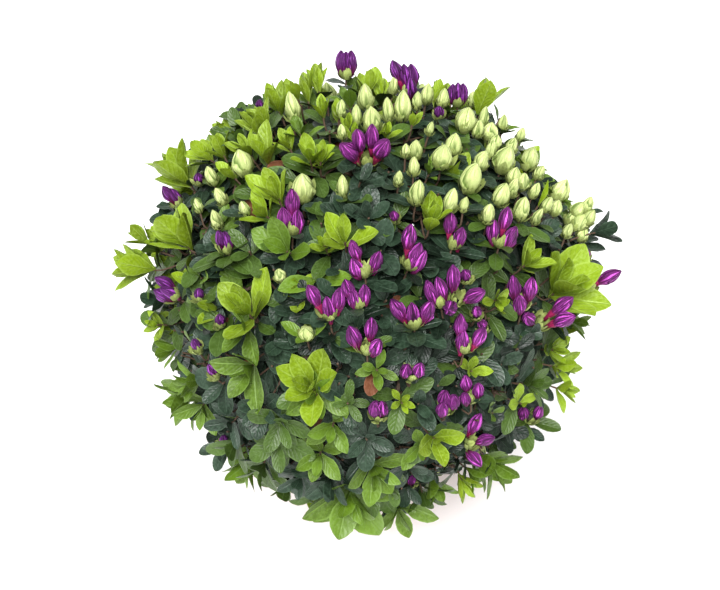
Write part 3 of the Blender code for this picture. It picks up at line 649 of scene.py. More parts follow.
def placed_rosettes(crown):
    """The shoots that the view shows as young rosettes."""
    shoots = []
    for *places, size, opening, leaf in YOUNG_ROSETTES:
        tip = seen_at(*places[:2], crown.bud_depth)
        outward = (tip - CROWN_CENTRE).normalized()
        facing = max(0.0, opening - OPEN_ROSETTE) * OPEN_FACING
        lean = shift_in_view(tip, places[2:]) / AIM_REACH
        axis = (outward + lean + TOWARD_VIEW * facing).normalized()
        shoots.append(Shoot(tip, axis, leaf, size, opening, (), "leafy", True))
    return shoots


def leaf_colour(place, draw):
    """The colour of a whorl at a place, drawn by the shares of that part of the crown."""
    across, down, _ = pixel_of(place)
    part = "middle"
    if facing_view(place) < HIDDEN_FACING:
        part = "hidden"
    elif down + draw.uniform(-PART_STRAY, PART_STRAY) > LOW_DOWN:
        part = "low"
    elif across + draw.uniform(-PART_STRAY, PART_STRAY) < LEFT_ACROSS:
        part = "left"
    elif down < TOP_DOWN:
        part = "top"
    return draw.choices(WHORL_KINDS, SHARES[part])[0]


def tip_places(count, depth_share, draw):
    """Places all over the crown that a shoot may end at."""
    places = []
    for i in range(count):
        height = 1.0 - (1.0 - CROWN_LOWEST) * (i + 0.5) / count
        heading = direction(math.acos(height), i * GOLDEN_ANGLE)
        depth = depth_share * (1.0 + draw.uniform(-TIP_STRAY, TIP_STRAY))
        places.append(CROWN_CENTRE + heading * reach(heading) * depth)
    return places


def spread_out(places, taken, count):
    """As many of the places as asked, each the one furthest from those taken so far."""
    grid = np.array(places)
    room = np.full(len(places), math.inf)
    for point in taken:
        room = np.minimum(room, np.linalg.norm(grid - np.array(point), axis=1))
    chosen = []
    for _ in range(count):
        best = int(room.argmax())
        chosen.append(places[best])
        room = np.minimum(room, np.linalg.norm(grid - grid[best], axis=1))
    return chosen


def hidden_truss(tip, axis, buds, draw):
    """Buds that spread a little from a shoot's tip."""
    count = draw.randint(*HIDDEN_COUNTS)
    size = draw.uniform(*HIDDEN_SIZES)
    turn = draw.uniform(0.0, math.tau)
    made = []
    for i in range(count):
        outward = turned_side(axis, turn + math.tau * i / count)
        angle = math.radians(HIDDEN_SPREAD * draw.uniform(*HIDDEN_SPREADS))
        along = axis * math.cos(angle) + outward * math.sin(angle)
        foot = tip + outward * TRUSS_WIDTH
        length = buds.purple_length * size * draw.uniform(*HIDDEN_LENGTHS)
        radius = buds.purple_radius * size * draw.uniform(*HIDDEN_GIRTHS)
        start = foot + along * draw.uniform(0.0, HIDDEN_CLAW)
        made.append(Bud(foot, start, start + along * length, radius, draw.random()))
    return tuple(made)


def hidden_green_bud(tip, axis, buds, draw):
    """A green bud that stands on a shoot's tip."""
    length = buds.green_length * draw.uniform(*HIDDEN_GREEN_LENGTHS)
    radius = buds.green_radius * length / buds.green_length
    return Bud(tip, tip, tip + axis * length, radius, draw.random())


def bears_buds(rule, facing, chance, side):
    """Whether a free shoot bears the buds of a rule."""
    most_facing, share, change = rule
    return facing < most_facing and chance < share + change * side


def free_shoot(tip, buds, draw):
    """A shoot that the view does not place. Some on the hidden sides bear a truss or a green bud."""
    axis = shoot_axis(tip, draw)
    leaf = leaf_colour(tip, draw)
    facing = facing_view(tip)
    side = noise.noise(tip * SIDE_GRAIN)
    chance = draw.random()
    size = draw.uniform(*FREE_SIZES)
    if bears_buds(HIDDEN_PURPLE, facing, chance, side):
        own = hidden_truss(tip, axis, buds, draw)
        kind = draw.choice(("purple", "purple", "violet"))
        return Shoot(tip, axis, draw.choice(("dark", "old")), 1.0, 1.0, own, kind, False)
    if bears_buds(HIDDEN_GREEN, facing, chance, side):
        bud = hidden_green_bud(tip, axis, buds, draw)
        return Shoot(tip, axis, draw.choice(("dark", "mid")), BUDDED_SIZE, 1.0, (bud,), "green", False)
    return Shoot(tip, axis, leaf, size, draw.uniform(*FREE_OPENINGS), (), "leafy", False)


def free_shoots(taken, buds, crown, draw):
    """The shoots between the placed ones and on the hidden sides, then the older ones further in."""
    outer = tip_places(TIP_PLACES, crown.shoot_depth, draw)
    made = [free_shoot(tip, buds, draw) for tip in spread_out(outer, taken, crown.outer_shoots)]
    inner = tip_places(TIP_PLACES, crown.inner_depth, draw)
    for tip in spread_out(inner, [], crown.inner_shoots):
        leaf = draw.choice(("old", "old", "dark"))
        axis = shoot_axis(tip, draw)
        made.append(Shoot(tip, axis, leaf, draw.uniform(*INNER_SIZES), 1.0, (), "leafy", False))
    return made


def halves(shoots, draw):
    """The shoots in two groups, split across the direction in which they spread most."""
    tips = np.array([shoot.tip for shoot in shoots])
    spread = np.linalg.svd(tips - tips.mean(axis=0))[2][0]
    ordered = [shoots[i] for i in np.argsort(tips @ spread)]
    cut = round(len(ordered) * draw.uniform(*TWIG_SPLIT))
    cut = min(max(cut, 1), len(ordered) - 1)
    return sorted((ordered[:cut], ordered[cut:]), key=len)


def branch(paths, path, shoots, draw):
    """Leads a twig on to its shoots, forking on the way. A path is a list of (point, shoots beyond it)."""
    if len(shoots) == 1:
        shoot = shoots[0]
        path.append((shoot.tip - shoot.axis * SHOOT_LENGTH, 1))
        path.append((shoot.tip, 1))
        paths.append(path)
        return
    middle = sum((shoot.tip for shoot in shoots), Vector()) / len(shoots)
    before = path[-1][0]
    onward = before.lerp(middle, TWIG_FORK_STEP) - CROWN_CENTRE
    onward *= min(1.0, CROWN_RADIUS * LAST_FORK_DEPTH / onward.length)
    kink = Vector([draw.uniform(-TWIG_KINK, TWIG_KINK) for _ in range(3)])
    path.append((CROWN_CENTRE + onward + kink, len(shoots)))
    fork = before.lerp(path[-1][0], TWIG_FORK_PLACE)
    smaller, larger = halves(shoots, draw)
    branch(paths, path, larger, draw)
    branch(paths, [(fork, len(smaller))], smaller, draw)


def twig_paths(masses, shoots, draw):
    """The paths of all twigs. Each shoot belongs to the mass whose heading is nearest to it."""
    headings = np.array([mass.heading for mass in masses])
    groups = [[] for _ in masses]
    for shoot in shoots:
        outward = np.array((shoot.tip - CROWN_CENTRE).normalized())
        groups[int((headings @ outward).argmax())].append(shoot)
    paths = []
    for mass, own in zip(masses, groups):
        onward = (mass.bough[-1] - mass.bough[-2]).normalized()
        foot = mass.bough[-1] - onward * TWIG_SUNK
        branch(paths, [(foot, len(own)), (foot + onward * SHOOT_LENGTH, len(own))], own, draw)
    return paths


def blade(foot, axis, outward, spread, length, form, draw):
    """A leaf that stands off its shoot's axis towards a side, by a spread in radians, and faces the light."""
    along = (axis * math.cos(spread) + outward * math.sin(spread)).normalized()
    face = axis * math.sin(spread) - outward * math.cos(spread) + UP * LEAF_UPTURN
    face = (face - along * face.dot(along)).normalized()
    least, more = WIDTH_BY_LENGTH
    fullness = least + more * length / max(form.length, SHORTEST_FULL_LEAF)
    width = length * form.width * draw.uniform(*LEAF_WIDTHS) * fullness
    droop = form.droop + draw.uniform(-DROOP_STRAY, DROOP_STRAY)
    fold = form.fold * draw.uniform(*LEAF_FOLDS)
    return Blade(foot, along, face, length, width, droop, fold, draw.random())


def whorl(shoot, count, turn, draw):
    """The leaves at a shoot's tip, the innermost first."""
    form = LEAF_FORMS[shoot.leaf]
    inner, outer = form.inner * shoot.open, form.outer * shoot.open
    if shoot.buds:
        inner, outer = max(inner, BUDDED_ANGLES[0]), max(outer, BUDDED_ANGLES[1])
    least, more, soon = WHORL_GROWTH
    made = []
    for i in range(count):
        share = i / (count - 1)
        spread = inner + (outer - inner) * share**WHORL_EASE
        spread += draw.uniform(-WHORL_TILT_STRAY, WHORL_TILT_STRAY)
        stray = draw.uniform(-WHORL_TURN_STRAY, WHORL_TURN_STRAY)
        outward = turned_side(shoot.axis, turn + i * GOLDEN_ANGLE + stray)
        grown = least + more * min(1.0, share * soon)
        length = form.length * shoot.size * grown * draw.uniform(*WHORL_LENGTHS)
        foot = shoot.tip - shoot.axis * (WHORL_START + WHORL_STEP * i)
        made.append((shoot.leaf, blade(foot, shoot.axis, outward, math.radians(spread), length, form, draw)))
    return made


def older_leaf(shoot, path, number, turn, draw):
    """A leaf from before the whorl, further down the twig the higher its number."""
    form = LEAF_FORMS[OLDER[shoot.leaf]]
    spread = form.outer * draw.uniform(*OLDER_TILTS)
    length = form.length * draw.uniform(*OLDER_LENGTHS)
    foot = back_along(path, OLDER_START + OLDER_STEP * number)
    colour = OLDER[shoot.leaf] if draw.random() > RUSSET_SHARE else "russet"
    outward = turned_side(shoot.axis, turn)
    return colour, blade(foot, shoot.axis, outward, math.radians(spread), length, form, draw)


def leaves_of(shoot, path, draw):
    """(colour, leaf) of a shoot: the whorl at its tip and older leaves further down its twig."""
    turn = draw.uniform(0.0, math.tau)
    count = LEAF_FORMS[shoot.leaf].count + draw.randint(-1, 1)
    if shoot.size > LARGE_ROSETTE:
        count += MORE_LEAVES
    made = whorl(shoot, count, turn, draw)
    for i in range(LEAF_FORMS[OLDER[shoot.leaf]].below):
        made.append(older_leaf(shoot, path, i, turn + (count + i) * GOLDEN_ANGLE, draw))
    return made


def back_along(path, distance):
    """The point on a path at a distance back from its end."""
    for (end, _), (start, _) in zip(path[::-1], path[-2::-1]):
        length = (start - end).length
        if distance <= length:
            return end.lerp(start, distance / length)
        distance -= length
    return path[0][0]


def scales_of(shoot, draw):
    """The small scales that clasp the foot of a shoot's buds."""
    form = SCALE_FORMS["green" if shoot.kind == "green" else "purple"]
    size = max(bud.radius for bud in shoot.buds) / form.bud_radius
    turn = draw.uniform(0.0, math.tau)
    made = []
    for i in range(form.count):
        outward = turned_side(shoot.axis, turn + i * GOLDEN_ANGLE)
        foot = shoot.tip + outward * form.ring * size - shoot.axis * SCALE_SUNK
        spread = math.radians(draw.uniform(form.inner, form.outer))
        length = form.length * size * draw.uniform(*SCALE_LENGTHS)
        made.append(blade(foot, shoot.axis, outward, spread, length, form, draw))
    return made


def points_along(leaf, shares):
    """Points on a leaf's midrib, at shares of its length."""
    return [leaf.foot + leaf.along * leaf.length * share for share in shares]


def points_over(leaf):
    """Points along a leaf's midrib, and one near each edge."""
    side = leaf.along.cross(leaf.face) * leaf.width * EDGE_WIDTH
    middle = leaf.foot + leaf.along * leaf.length * EDGE_POINT
    return points_along(leaf, RIB_POINTS) + [middle + side, middle - side]


def is_placed_rosette(shoot):
    """Whether the view places a shoot's leaves."""
    return shoot.seen and shoot.kind == "leafy"


def surroundings(shoots, grown, crown):
    """What the leaves keep clear of: the buds, and what the view places."""
    buds, leaves, marks = [], [], []
    for number, shoot in enumerate(shoots):
        for bud in shoot.buds:
            for share in BUD_POINTS:
                point = bud.start.lerp(bud.end, share)
                buds.append((*point, number))
                if shoot.seen:
                    clear = bud.radius * SIGHT_PIXELS + BUD_CLEAR_PIXELS
                    marks.append((*pixel_of(point), clear, number, share == BUD_MIDDLE))
        if is_placed_rosette(shoot):
            for _, leaf in grown[number]:
                for point in points_along(leaf, SHOWN_POINTS):
                    marks.append((*pixel_of(point), crown.clear_pixels, number, False))
                for point in points_along(leaf, FILLED_POINTS):
                    leaves.append((*point, max(LEAF_CLEARANCE, leaf.width * FILLED_WIDTH)))
    return Surroundings(np.array(buds), np.array(leaves), np.array(marks))


def hides_a_mark(points, number, placed, marks):
    """Whether a leaf hides another shoot's mark in the view. For a placed one only buds' middles count."""
    across, down, distance = np.array([pixel_of(point) for point in points]).T[..., None]
    near = np.hypot(across - marks[:, 0], down - marks[:, 1]) < marks[:, 3]
    before = distance < marks[:, 2] - SHOWN_DEPTH
    others = marks[:, 4] != number
    if placed:
        others &= marks[:, 5] > 0.0
    return (near & before & others).any()


def has_room(leaf, number, placed, around):
    """Whether a leaf of a shoot keeps off the pot, the buds and the placed leaves, and hides no mark."""
    points = points_over(leaf)
    if min(point.z for point in points) < POT_TOP + POT_MARGIN:
        return False
    spots = np.array([tuple(point) for point in points])
    apart = np.linalg.norm(spots[:, None] - around.buds[:, :3], axis=2)
    if apart[:, around.buds[:, 3] != number].min() < LEAF_CLEARANCE:
        return False
    apart = np.linalg.norm(spots[:, None] - around.leaves[:, :3], axis=2)
    if not placed and (apart < around.leaves[:, 3]).any():
        return False
    return not hides_a_mark(points, number, placed, around.marks)


def kept_leaves(shoots, grown, crown):
    """The leaves that run into no bud, keep off the pot, and hide nothing that is placed by the view."""
    around = surroundings(shoots, grown, crown)
    kept = {kind: [] for kind in LEAF_KINDS}
    for number, (shoot, own) in enumerate(zip(shoots, grown)):
        for kind, leaf in own:
            if has_room(leaf, number, is_placed_rosette(shoot), around):
                kept[kind].append(leaf)
    return kept


@lru_cache(maxsize=1)
def grown_plant(crown, buds):
    """The whole plant from its settings: twigs, leaves, buds and scales."""
    draw = random.Random(crown.seed)
    masses = crown_masses(BOUGH_POINTS)
    shoots = placed_trusses(buds, crown, draw) + placed_green_buds(buds, crown, draw) + placed_rosettes(crown)
    shoots += free_shoots([shoot.tip for shoot in shoots], buds, crown, draw)
    paths = twig_paths(masses, shoots, draw)
    path_of = {tuple(path[-1][0]): path for path in paths}
    grown = [leaves_of(shoot, path_of[tuple(shoot.tip)], draw) for shoot in shoots]
    borne = {kind: [] for kind in BUD_KINDS}
    for shoot in shoots:
        if shoot.buds:
            borne[shoot.kind] += shoot.buds
    scales = [scale for shoot in shoots if shoot.buds for scale in scales_of(shoot, draw)]
    return Growth(paths, kept_leaves(shoots, grown, crown), borne, scales)


def plain_settings(settings, names):
    """Settings as plain values, which can be compared with those of an earlier growth."""
    return namedtuple("Settings", names)(*(getattr(settings, name) for name in names))


def plant_of(scene):
    """The plant that a scene's settings give, grown anew only when one that shapes it has changed."""
    crown = plain_settings(scene.rhododendron_crown, tuple(CrownSettings.__annotations__))
    buds = plain_settings(scene.rhododendron_buds, BUD_SIZES)
    return grown_plant(crown, buds)


class Value:
    """What a node puts out. Reckoning with it adds Math nodes to its tree."""

    def __init__(self, tree, socket):
        self.tree = tree
        self.socket = socket

    def __add__(self, other):
        return self.tree.math("ADD", self, other)

    def __sub__(self, other):
        return self.tree.math("SUBTRACT", self, other)

    def __rsub__(self, other):
        return self.tree.math("SUBTRACT", other, self)

    def __mul__(self, other):
        return self.tree.math("MULTIPLY", self, other)

    def __truediv__(self, other):
        return self.tree.math("DIVIDE", self, other)

    def times_plus(self, factor, term):
        return self.tree.math("MULTIPLY_ADD", self, factor, term)


class Tree:
    """A node tree in the making. Nodes are fed by what other nodes put out, or by plain values."""

    def __init__(self, group):
        self.group = group

    def link(self, value, socket):
        self.group.links.new(value.socket, socket)

    def add(self, kind, values, output=0, **settings):
        """What a new node puts out, with its settings made and its inputs fed."""
        node = self.group.nodes.new(kind)
        for name, value in settings.items():
            setattr(node, name, value)
        for key, value in values.items():
            if isinstance(value, Value):
                self.link(value, node.inputs[key])
            else:
                node.inputs[key].default_value = value
        return Value(self, node.outputs[output])

    def math(self, operation, *values):
        return self.add("ShaderNodeMath", dict(enumerate(values)), operation=operation)

    def vector(self, operation, *values):
        return self.add("ShaderNodeVectorMath", dict(enumerate(values)), operation=operation)

    def scaled(self, vector, factor):
        return self.add("ShaderNodeVectorMath", {0: vector, "Scale": factor}, operation="SCALE")

    def reached(self, start, *steps):
        """The place that steps lead to from a start. A step is a direction and how far it goes."""
        for way, far in steps:
            start = self.vector("ADD", start, self.scaled(way, far))
        return start

    def combined(self, x, y, z):
        return self.add("ShaderNodeCombineXYZ", {"X": x, "Y": y, "Z": z})

    def parts(self, vector):
        node = self.add("ShaderNodeSeparateXYZ", {"Vector": vector}).socket.node
        return [Value(self, node.outputs[name]) for name in "XYZ"]

    def named(self, name, kind="FLOAT_VECTOR"):
        """A geometry's own attribute."""
        return self.add("GeometryNodeInputNamedAttribute", {"Name": name}, data_type=kind)

    def stored(self, geometry, name, value, kind="FLOAT_VECTOR"):
        """A geometry that keeps a value at each point as an attribute."""
        values = {"Geometry": geometry, "Name": name, "Value": value}
        return self.add("GeometryNodeStoreNamedAttribute", values, data_type=kind, domain="POINT")

    def without(self, geometry, *names):
        """A geometry that has lost attributes."""
        for name in names:
            geometry = self.add("GeometryNodeRemoveAttribute", {"Geometry": geometry, "Name": name})
        return geometry

    def attribute(self, name, output="Fac"):
        """An attribute of the piece that a material is on."""
        return self.add("ShaderNodeAttribute", {}, output, attribute_name=name)

    def curve(self, value, points):
        """A curve through (place, height) points, both from 0 to 1."""
        output = self.add("ShaderNodeFloatCurve", {"Value": value})
        mapped = output.socket.node.mapping
        line = mapped.curves[0]
        for place, height in points[1:-1]:
            line.points.new(place, height)
        line.points[0].location = points[0]
        line.points[-1].location = points[-1]
        mapped.update()
        return output


SOCKET_KINDS = {int: "NodeSocketInt", float: "NodeSocketFloat", type(None): "NodeSocketMaterial"}


def geometry_tree(name, inputs):
    """A new geometry tree with named inputs and their defaults, and last of them its material."""
    group = bpy.data.node_groups.new(name, "GeometryNodeTree")
    group.is_modifier = True
    group.interface.new_socket("Geometry", in_out="INPUT", socket_type="NodeSocketGeometry")
    for label, default in {**inputs, "Material": None}.items():
        kind = SOCKET_KINDS[type(default)]
        socket = group.interface.new_socket(label, in_out="INPUT", socket_type=kind)
        if default is not None:
            socket.default_value = default
    group.interface.new_socket("Geometry", in_out="OUTPUT", socket_type="NodeSocketGeometry")
    tree = Tree(group)
    given = group.nodes.new("NodeGroupInput").outputs
    return tree, {socket.name: Value(tree, socket) for socket in given if socket.name}


def close_tree(tree, geometry, material, smooth=True):
    """Ends a tree: its instances are already realized, and it takes its shading and its material."""
    geometry = tree.add("GeometryNodeSetShadeSmooth", {"Geometry": geometry, "Shade Smooth": smooth})
    geometry = tree.add("GeometryNodeSetMaterial", {"Geometry": geometry, "Material": material})
    tree.link(geometry, tree.group.nodes.new("NodeGroupOutput").inputs["Geometry"])
    return tree.group


def shape_from(obj, group, values):
    """Runs a geometry tree on an object and keeps what it makes as the object's own plain mesh."""
    modifier = obj.modifiers.new(group.name, "NODES")
    modifier.node_group = group
    for item in group.interface.items_tree:
        if item.item_type == "SOCKET" and item.in_out == "INPUT" and item.name in values:
            modifier[item.identifier] = values[item.name]
    return settled(obj)


def settled(obj):
    """Keeps what an object's modifiers make as its own plain mesh."""
    bpy.context.view_layer.update()
    mesh = bpy.data.meshes.new_from_object(obj.evaluated_get(bpy.context.evaluated_depsgraph_get()))
    obj.modifiers.clear()
    obj.data = mesh
    mesh.name = obj.name
    return obj


def placed(name, mesh):
    """A new object of the scene with a mesh."""
    obj = bpy.data.objects.new(name, mesh)
    bpy.context.scene.collection.objects.link(obj)
    return obj


def mesh_from(bm, name):
    """A new mesh of what was edited, which ends the editing."""
    mesh = bpy.data.meshes.new(name)
    bm.to_mesh(mesh)
    bm.free()
    return mesh


def point_mesh(name, columns):
    """A mesh of loose points with named vectors or numbers at each. The first column is where they are."""
    mesh = bpy.data.meshes.new(name)
    places = np.array(next(iter(columns.values())), dtype=np.float32)
    mesh.vertices.add(len(places))
    mesh.vertices.foreach_set("co", places.ravel())
    for label, rows in columns.items():
        values = np.array(rows, dtype=np.float32)
        kind, field = ("FLOAT_VECTOR", "vector") if values.ndim == 2 else ("FLOAT", "value")
        mesh.attributes.new(label, kind, "POINT").data.foreach_set(field, values.ravel())
    return mesh


def one_at_each_point(tree, points, shape):
    """A copy of a shape at every point, all as one mesh that keeps the points' attributes."""
    many = tree.add("GeometryNodeInstanceOnPoints", {"Points": points, "Instance": shape})
    return tree.add("GeometryNodeRealizeInstances", {"Geometry": many})


def laid_out(tree, many, place, tone, used):
    """Moves a mesh's points to their places. It keeps the tone, and loses the attributes that were used."""
    many = tree.add("GeometryNodeSetPosition", {"Geometry": many, "Position": place})
    return tree.without(tree.stored(many, "tone", tone, "FLOAT"), *used)


# Waves along a leaf's edge, and how far they are shifted from leaf to leaf
EDGE_WAVES = 11.0
EDGE_WAVE_SHIFT = 40.0


def blade_tree(name, outline):
    """Builds a blade at every point: a flat grid that takes the outline, folds on its midrib and bends."""
    tree, given = geometry_tree(name, {"Rows": 8, "Columns": 5, "Edge wave": 0.03})
    values = {"Size X": 1.0, "Size Y": 1.0, "Vertices X": given["Columns"], "Vertices Y": given["Rows"]}
    grid = tree.add("GeometryNodeMeshGrid", values)
    x, y, _ = tree.parts(tree.add("GeometryNodeInputPosition", {}))
    across = x * 2.0
    up = tree.math("SINE", (y + 0.5) * (math.pi / 2))
    grid = tree.stored(grid, "leaf_place", tree.combined(across, up, 0.0))
    many = one_at_each_point(tree, given["Geometry"], grid)
    across, up, _ = tree.parts(tree.named("leaf_place"))
    length, width, droop = tree.parts(tree.named("size"))
    fold, phase, _ = tree.parts(tree.named("form"))
    half = tree.curve(up, outline) * (width * 0.5)
    # The midrib bends in an arc, as the first terms of the arc's sine and cosine give it
    bend = droop * up
    shorter = 1.0 - bend * bend / 6.0
    forward = length * up * shorter
    fall = forward * bend * -0.5
    off = tree.math("ABSOLUTE", across)
    rise = off * half * fold
    wave = tree.math("SINE", up * EDGE_WAVES + phase * EDGE_WAVE_SHIFT)
    wave = wave * off * (given["Edge wave"] * width)
    lift = fall + rise + wave
    along, face = tree.named("along"), tree.named("face")
    sideways = tree.vector("CROSS_PRODUCT", along, face)
    steps = ((along, forward), (face, lift), (sideways, across * half))
    place = tree.reached(tree.named("foot"), *steps)
    many = laid_out(tree, many, place, phase, ("foot", "along", "face", "size", "form"))
    return close_tree(tree, many, given["Material"])


def blades(name, group, leaves, material, wave, columns, rows):
    """One piece of many leaves or scales."""
    known = {
        "foot": [leaf.foot for leaf in leaves],
        "along": [leaf.along for leaf in leaves],
        "face": [leaf.face for leaf in leaves],
        "size": [(leaf.length, leaf.width, leaf.droop) for leaf in leaves],
        "form": [(leaf.fold, leaf.tone, 0.0) for leaf in leaves],
    }
    values = {"Columns": columns, "Rows": rows, "Edge wave": wave, "Material": material}
    return shape_from(placed(name, point_mesh(name, known)), group, values)


# Petals round a bud: how far their edges wander and turn on the way up, and how the bud bows and rumples
PETAL_STRAY = 0.55
PETAL_TURN = 0.5
BUD_BOW = 0.16
BUD_RUMPLE = 0.5
RUMPLE_GRAIN = 1.7


def petal_phase(tree, x, y, up, tone, petals):
    """How far round a petal a place is, from 0 to 1. The petals' edges wander, each bud's in its own way."""
    angle = tree.math("ARCTAN2", y, x) / math.tau
    own = tone.times_plus(40.0, up * 0.7)
    stray = fine_noise(tree, tree.combined(x, y, own), 0.9, 0.0)
    turned = angle.times_plus(float(petals), stray * (PETAL_STRAY * petals))
    return tree.math("FRACT", up.times_plus(PETAL_TURN, turned))


def bud_swell(tree, x, y, up, tone, petals, given):
    """How much wider a bud is at a place than its profile, by the laps of its petals and its rumples."""
    lap = petal_phase(tree, x, y, up, tone, petals).times_plus(2.0, -1.0)
    depth = given["Furrow"] * tree.math("SINE", up * math.pi)
    swell = lap.times_plus(depth, 1.0)
    own = tone.times_plus(30.0, up * 1.4)
    place = tree.combined(x * RUMPLE_GRAIN, y * RUMPLE_GRAIN, own)
    rumple = fine_noise(tree, place, 1.0, 1.0) - 0.5
    return rumple.times_plus(given["Rumple"], swell)


def bud_tree(name, profile, petals, furrow, around):
    """Builds a closed bud at every point: a tube that takes the profile, with rolled petals that lap."""
    tree, given = geometry_tree(name, {"Rings": 7, "Furrow": furrow, "Rumple": BUD_RUMPLE})
    values = {"Vertices": around, "Side Segments": given["Rings"], "Radius": 1.0, "Depth": 1.0}
    tube = tree.add("GeometryNodeMeshCylinder", values, fill_type="TRIANGLE_FAN")
    x, y, z = tree.parts(tree.add("GeometryNodeInputPosition", {}))
    tube = tree.stored(tube, "bud_place", tree.combined(x, y, z + 0.5))
    many = one_at_each_point(tree, given["Geometry"], tube)
    x, y, up = tree.parts(tree.named("bud_place"))
    length, radius, tone = tree.parts(tree.named("size"))
    from_axis = tree.math("MINIMUM", tree.math("SQRT", x * x + y * y), 1.0)
    swell = bud_swell(tree, x, y, up, tone, petals, given)
    outward = tree.curve(up, profile) * (radius * swell) * from_axis
    turned = tone.times_plus(math.tau, tree.math("ARCTAN2", y, x))
    bow = up * (1.0 - up) * length * BUD_BOW
    along, side = tree.named("along"), tree.named("side")
    third = tree.vector("CROSS_PRODUCT", along, side)
    steps = (
        (along, length * up),
        (side, outward.times_plus(tree.math("COSINE", turned), bow)),
        (third, outward * tree.math("SINE", turned)),
    )
    place = tree.reached(tree.named("foot"), *steps)
    many = laid_out(tree, many, place, tone, ("foot", "along", "side", "size"))
    return close_tree(tree, many, given["Material"])


def bud_piece(name, group, buds, material, rings=7):
    """One piece of many closed buds."""
    alongs = [(bud.end - bud.start).normalized() for bud in buds]
    sides = [(UP - along * UP.dot(along) + RIGHT * 1e-3).normalized() for along in alongs]
    sides = [(side - along * side.dot(along)).normalized() for side, along in zip(sides, alongs)]
    known = {
        "foot": [bud.start for bud in buds],
        "along": alongs,
        "side": sides,
        "size": [((bud.end - bud.start).length, bud.radius, bud.tone) for bud in buds],
    }
    values = {"Rings": rings, "Material": material}
    return shape_from(placed(name, point_mesh(name, known)), group, values)


def limb_tree(name, sides):
    """Builds round limbs along lines of points, each as thick as the number stored at the points says."""
    tree, given = geometry_tree(name, {"Smoothness": 3, "Bark depth": 0.0, "Bark grain": 260.0})
    line = tree.add("GeometryNodeMeshToCurve", {"Mesh": given["Geometry"]})
    line = tree.add("GeometryNodeCurveSplineType", {"Curve": line}, spline_type="CATMULL_ROM")
    values = {"Geometry": line, "Resolution": given["Smoothness"]}
    line = tree.add("GeometryNodeSetSplineResolution", values)
    ring = tree.add("GeometryNodeCurvePrimitiveCircle", {"Resolution": sides, "Radius": 1.0})
    thick = tree.named("thickness", "FLOAT")
    values = {"Curve": line, "Profile Curve": ring, "Scale": thick, "Fill Caps": True}
    limb = tree.add("GeometryNodeCurveToMesh", values)
    place = tree.vector("MULTIPLY", tree.add("GeometryNodeInputPosition", {}), (1.0, 1.0, 0.3))
    grain = fine_noise(tree, place, given["Bark grain"])
    relief = (grain - 0.5) * given["Bark depth"]
    offset = tree.scaled(tree.add("GeometryNodeInputNormal", {}), relief)
    limb = tree.add("GeometryNodeSetPosition", {"Geometry": limb, "Offset": offset})
    limb = tree.without(tree.stored(limb, "girth", thick, "FLOAT"), "thickness")
    return close_tree(tree, limb, given["Material"])


def line_mesh(name, lines):
    """A mesh of lines of (point, radius) pairs, with the thickness of the limb at each point."""
    mesh = bpy.data.meshes.new(name)
    points = [point for line in lines for point, _ in line]
    edges, start = [], 0
    for line in lines:
        edges += [(start + i, start + i + 1) for i in range(len(line) - 1)]
        start += len(line)
    mesh.from_pydata(points, edges, [])
    radii = np.array([radius for line in lines for _, radius in line], dtype=np.float32)
    mesh.attributes.new("thickness", "FLOAT", "POINT").data.foreach_set("value", radii)
    return mesh


def surface_material(name, roughness, specular=0.5):
    """A new material's tree, its Principled shader and a coordinate in the object's own space."""
    material = bpy.data.materials.new(name)
    material.use_nodes = True
    shader = material.node_tree.nodes["Principled BSDF"]
    shader.inputs["Roughness"].default_value = roughness
    shader.inputs["Specular IOR Level"].default_value = specular
    tree = Tree(material.node_tree)
    place = tree.add("ShaderNodeTexCoord", {}, "Object")
    return material, tree, shader, place


def mixed(tree, factor, first, second):
    """A blend of two colours, each what a node puts out or a plain colour."""
    node = tree.group.nodes.new("ShaderNodeMix")
    node.data_type = "RGBA"
    for socket, value in ((node.inputs[0], factor), (node.inputs[6], first), (node.inputs[7], second)):
        if isinstance(value, Value):
            tree.link(value, socket)
        elif isinstance(value, float):
            socket.default_value = value
        else:
            socket.default_value = (*value, 1.0)
    return Value(tree, node.outputs[2])


def shaded(colour, factor):
    """A plain colour made darker or lighter."""
    return tuple(min(1.0, channel * factor) for channel in colour)


def paled(colour, share):
    """A plain colour with a share of its brightest channel in all three."""
    own = 1.0 - share
    return tuple(channel * own + share * max(colour) for channel in colour)


def stretched(tree, value, low, high, to_low=0.0, to_high=1.0):
    """A value moved from one range to another and held within it."""
    values = {"Value": value, "From Min": low, "From Max": high, "To Min": to_low, "To Max": to_high}
    return tree.add("ShaderNodeMapRange", values)


def fine_noise(tree, place, scale, detail=3.0):
    """A number of a noise texture at a place, mostly between 0.3 and 0.7."""
    return tree.add("ShaderNodeTexNoise", {"Vector": place, "Scale": scale, "Detail": detail})


def finished(tree, shader, base, height, strength, distance):
    """Gives a shader its colour and its relief."""
    tree.link(base, shader.inputs["Base Color"])
    values = {"Height": height, "Strength": strength, "Distance": distance}
    tree.link(tree.add("ShaderNodeBump", values), shader.inputs["Normal"])


class LeafLook(NamedTuple):
    """A leaf's gloss, how its midrib, rim and side veins stand out, and how light its lighter parts and
    painted sheen are.
    """

    roughness: float
    specular: float
    rib: float
    rim: float
    veins: float
    light: float


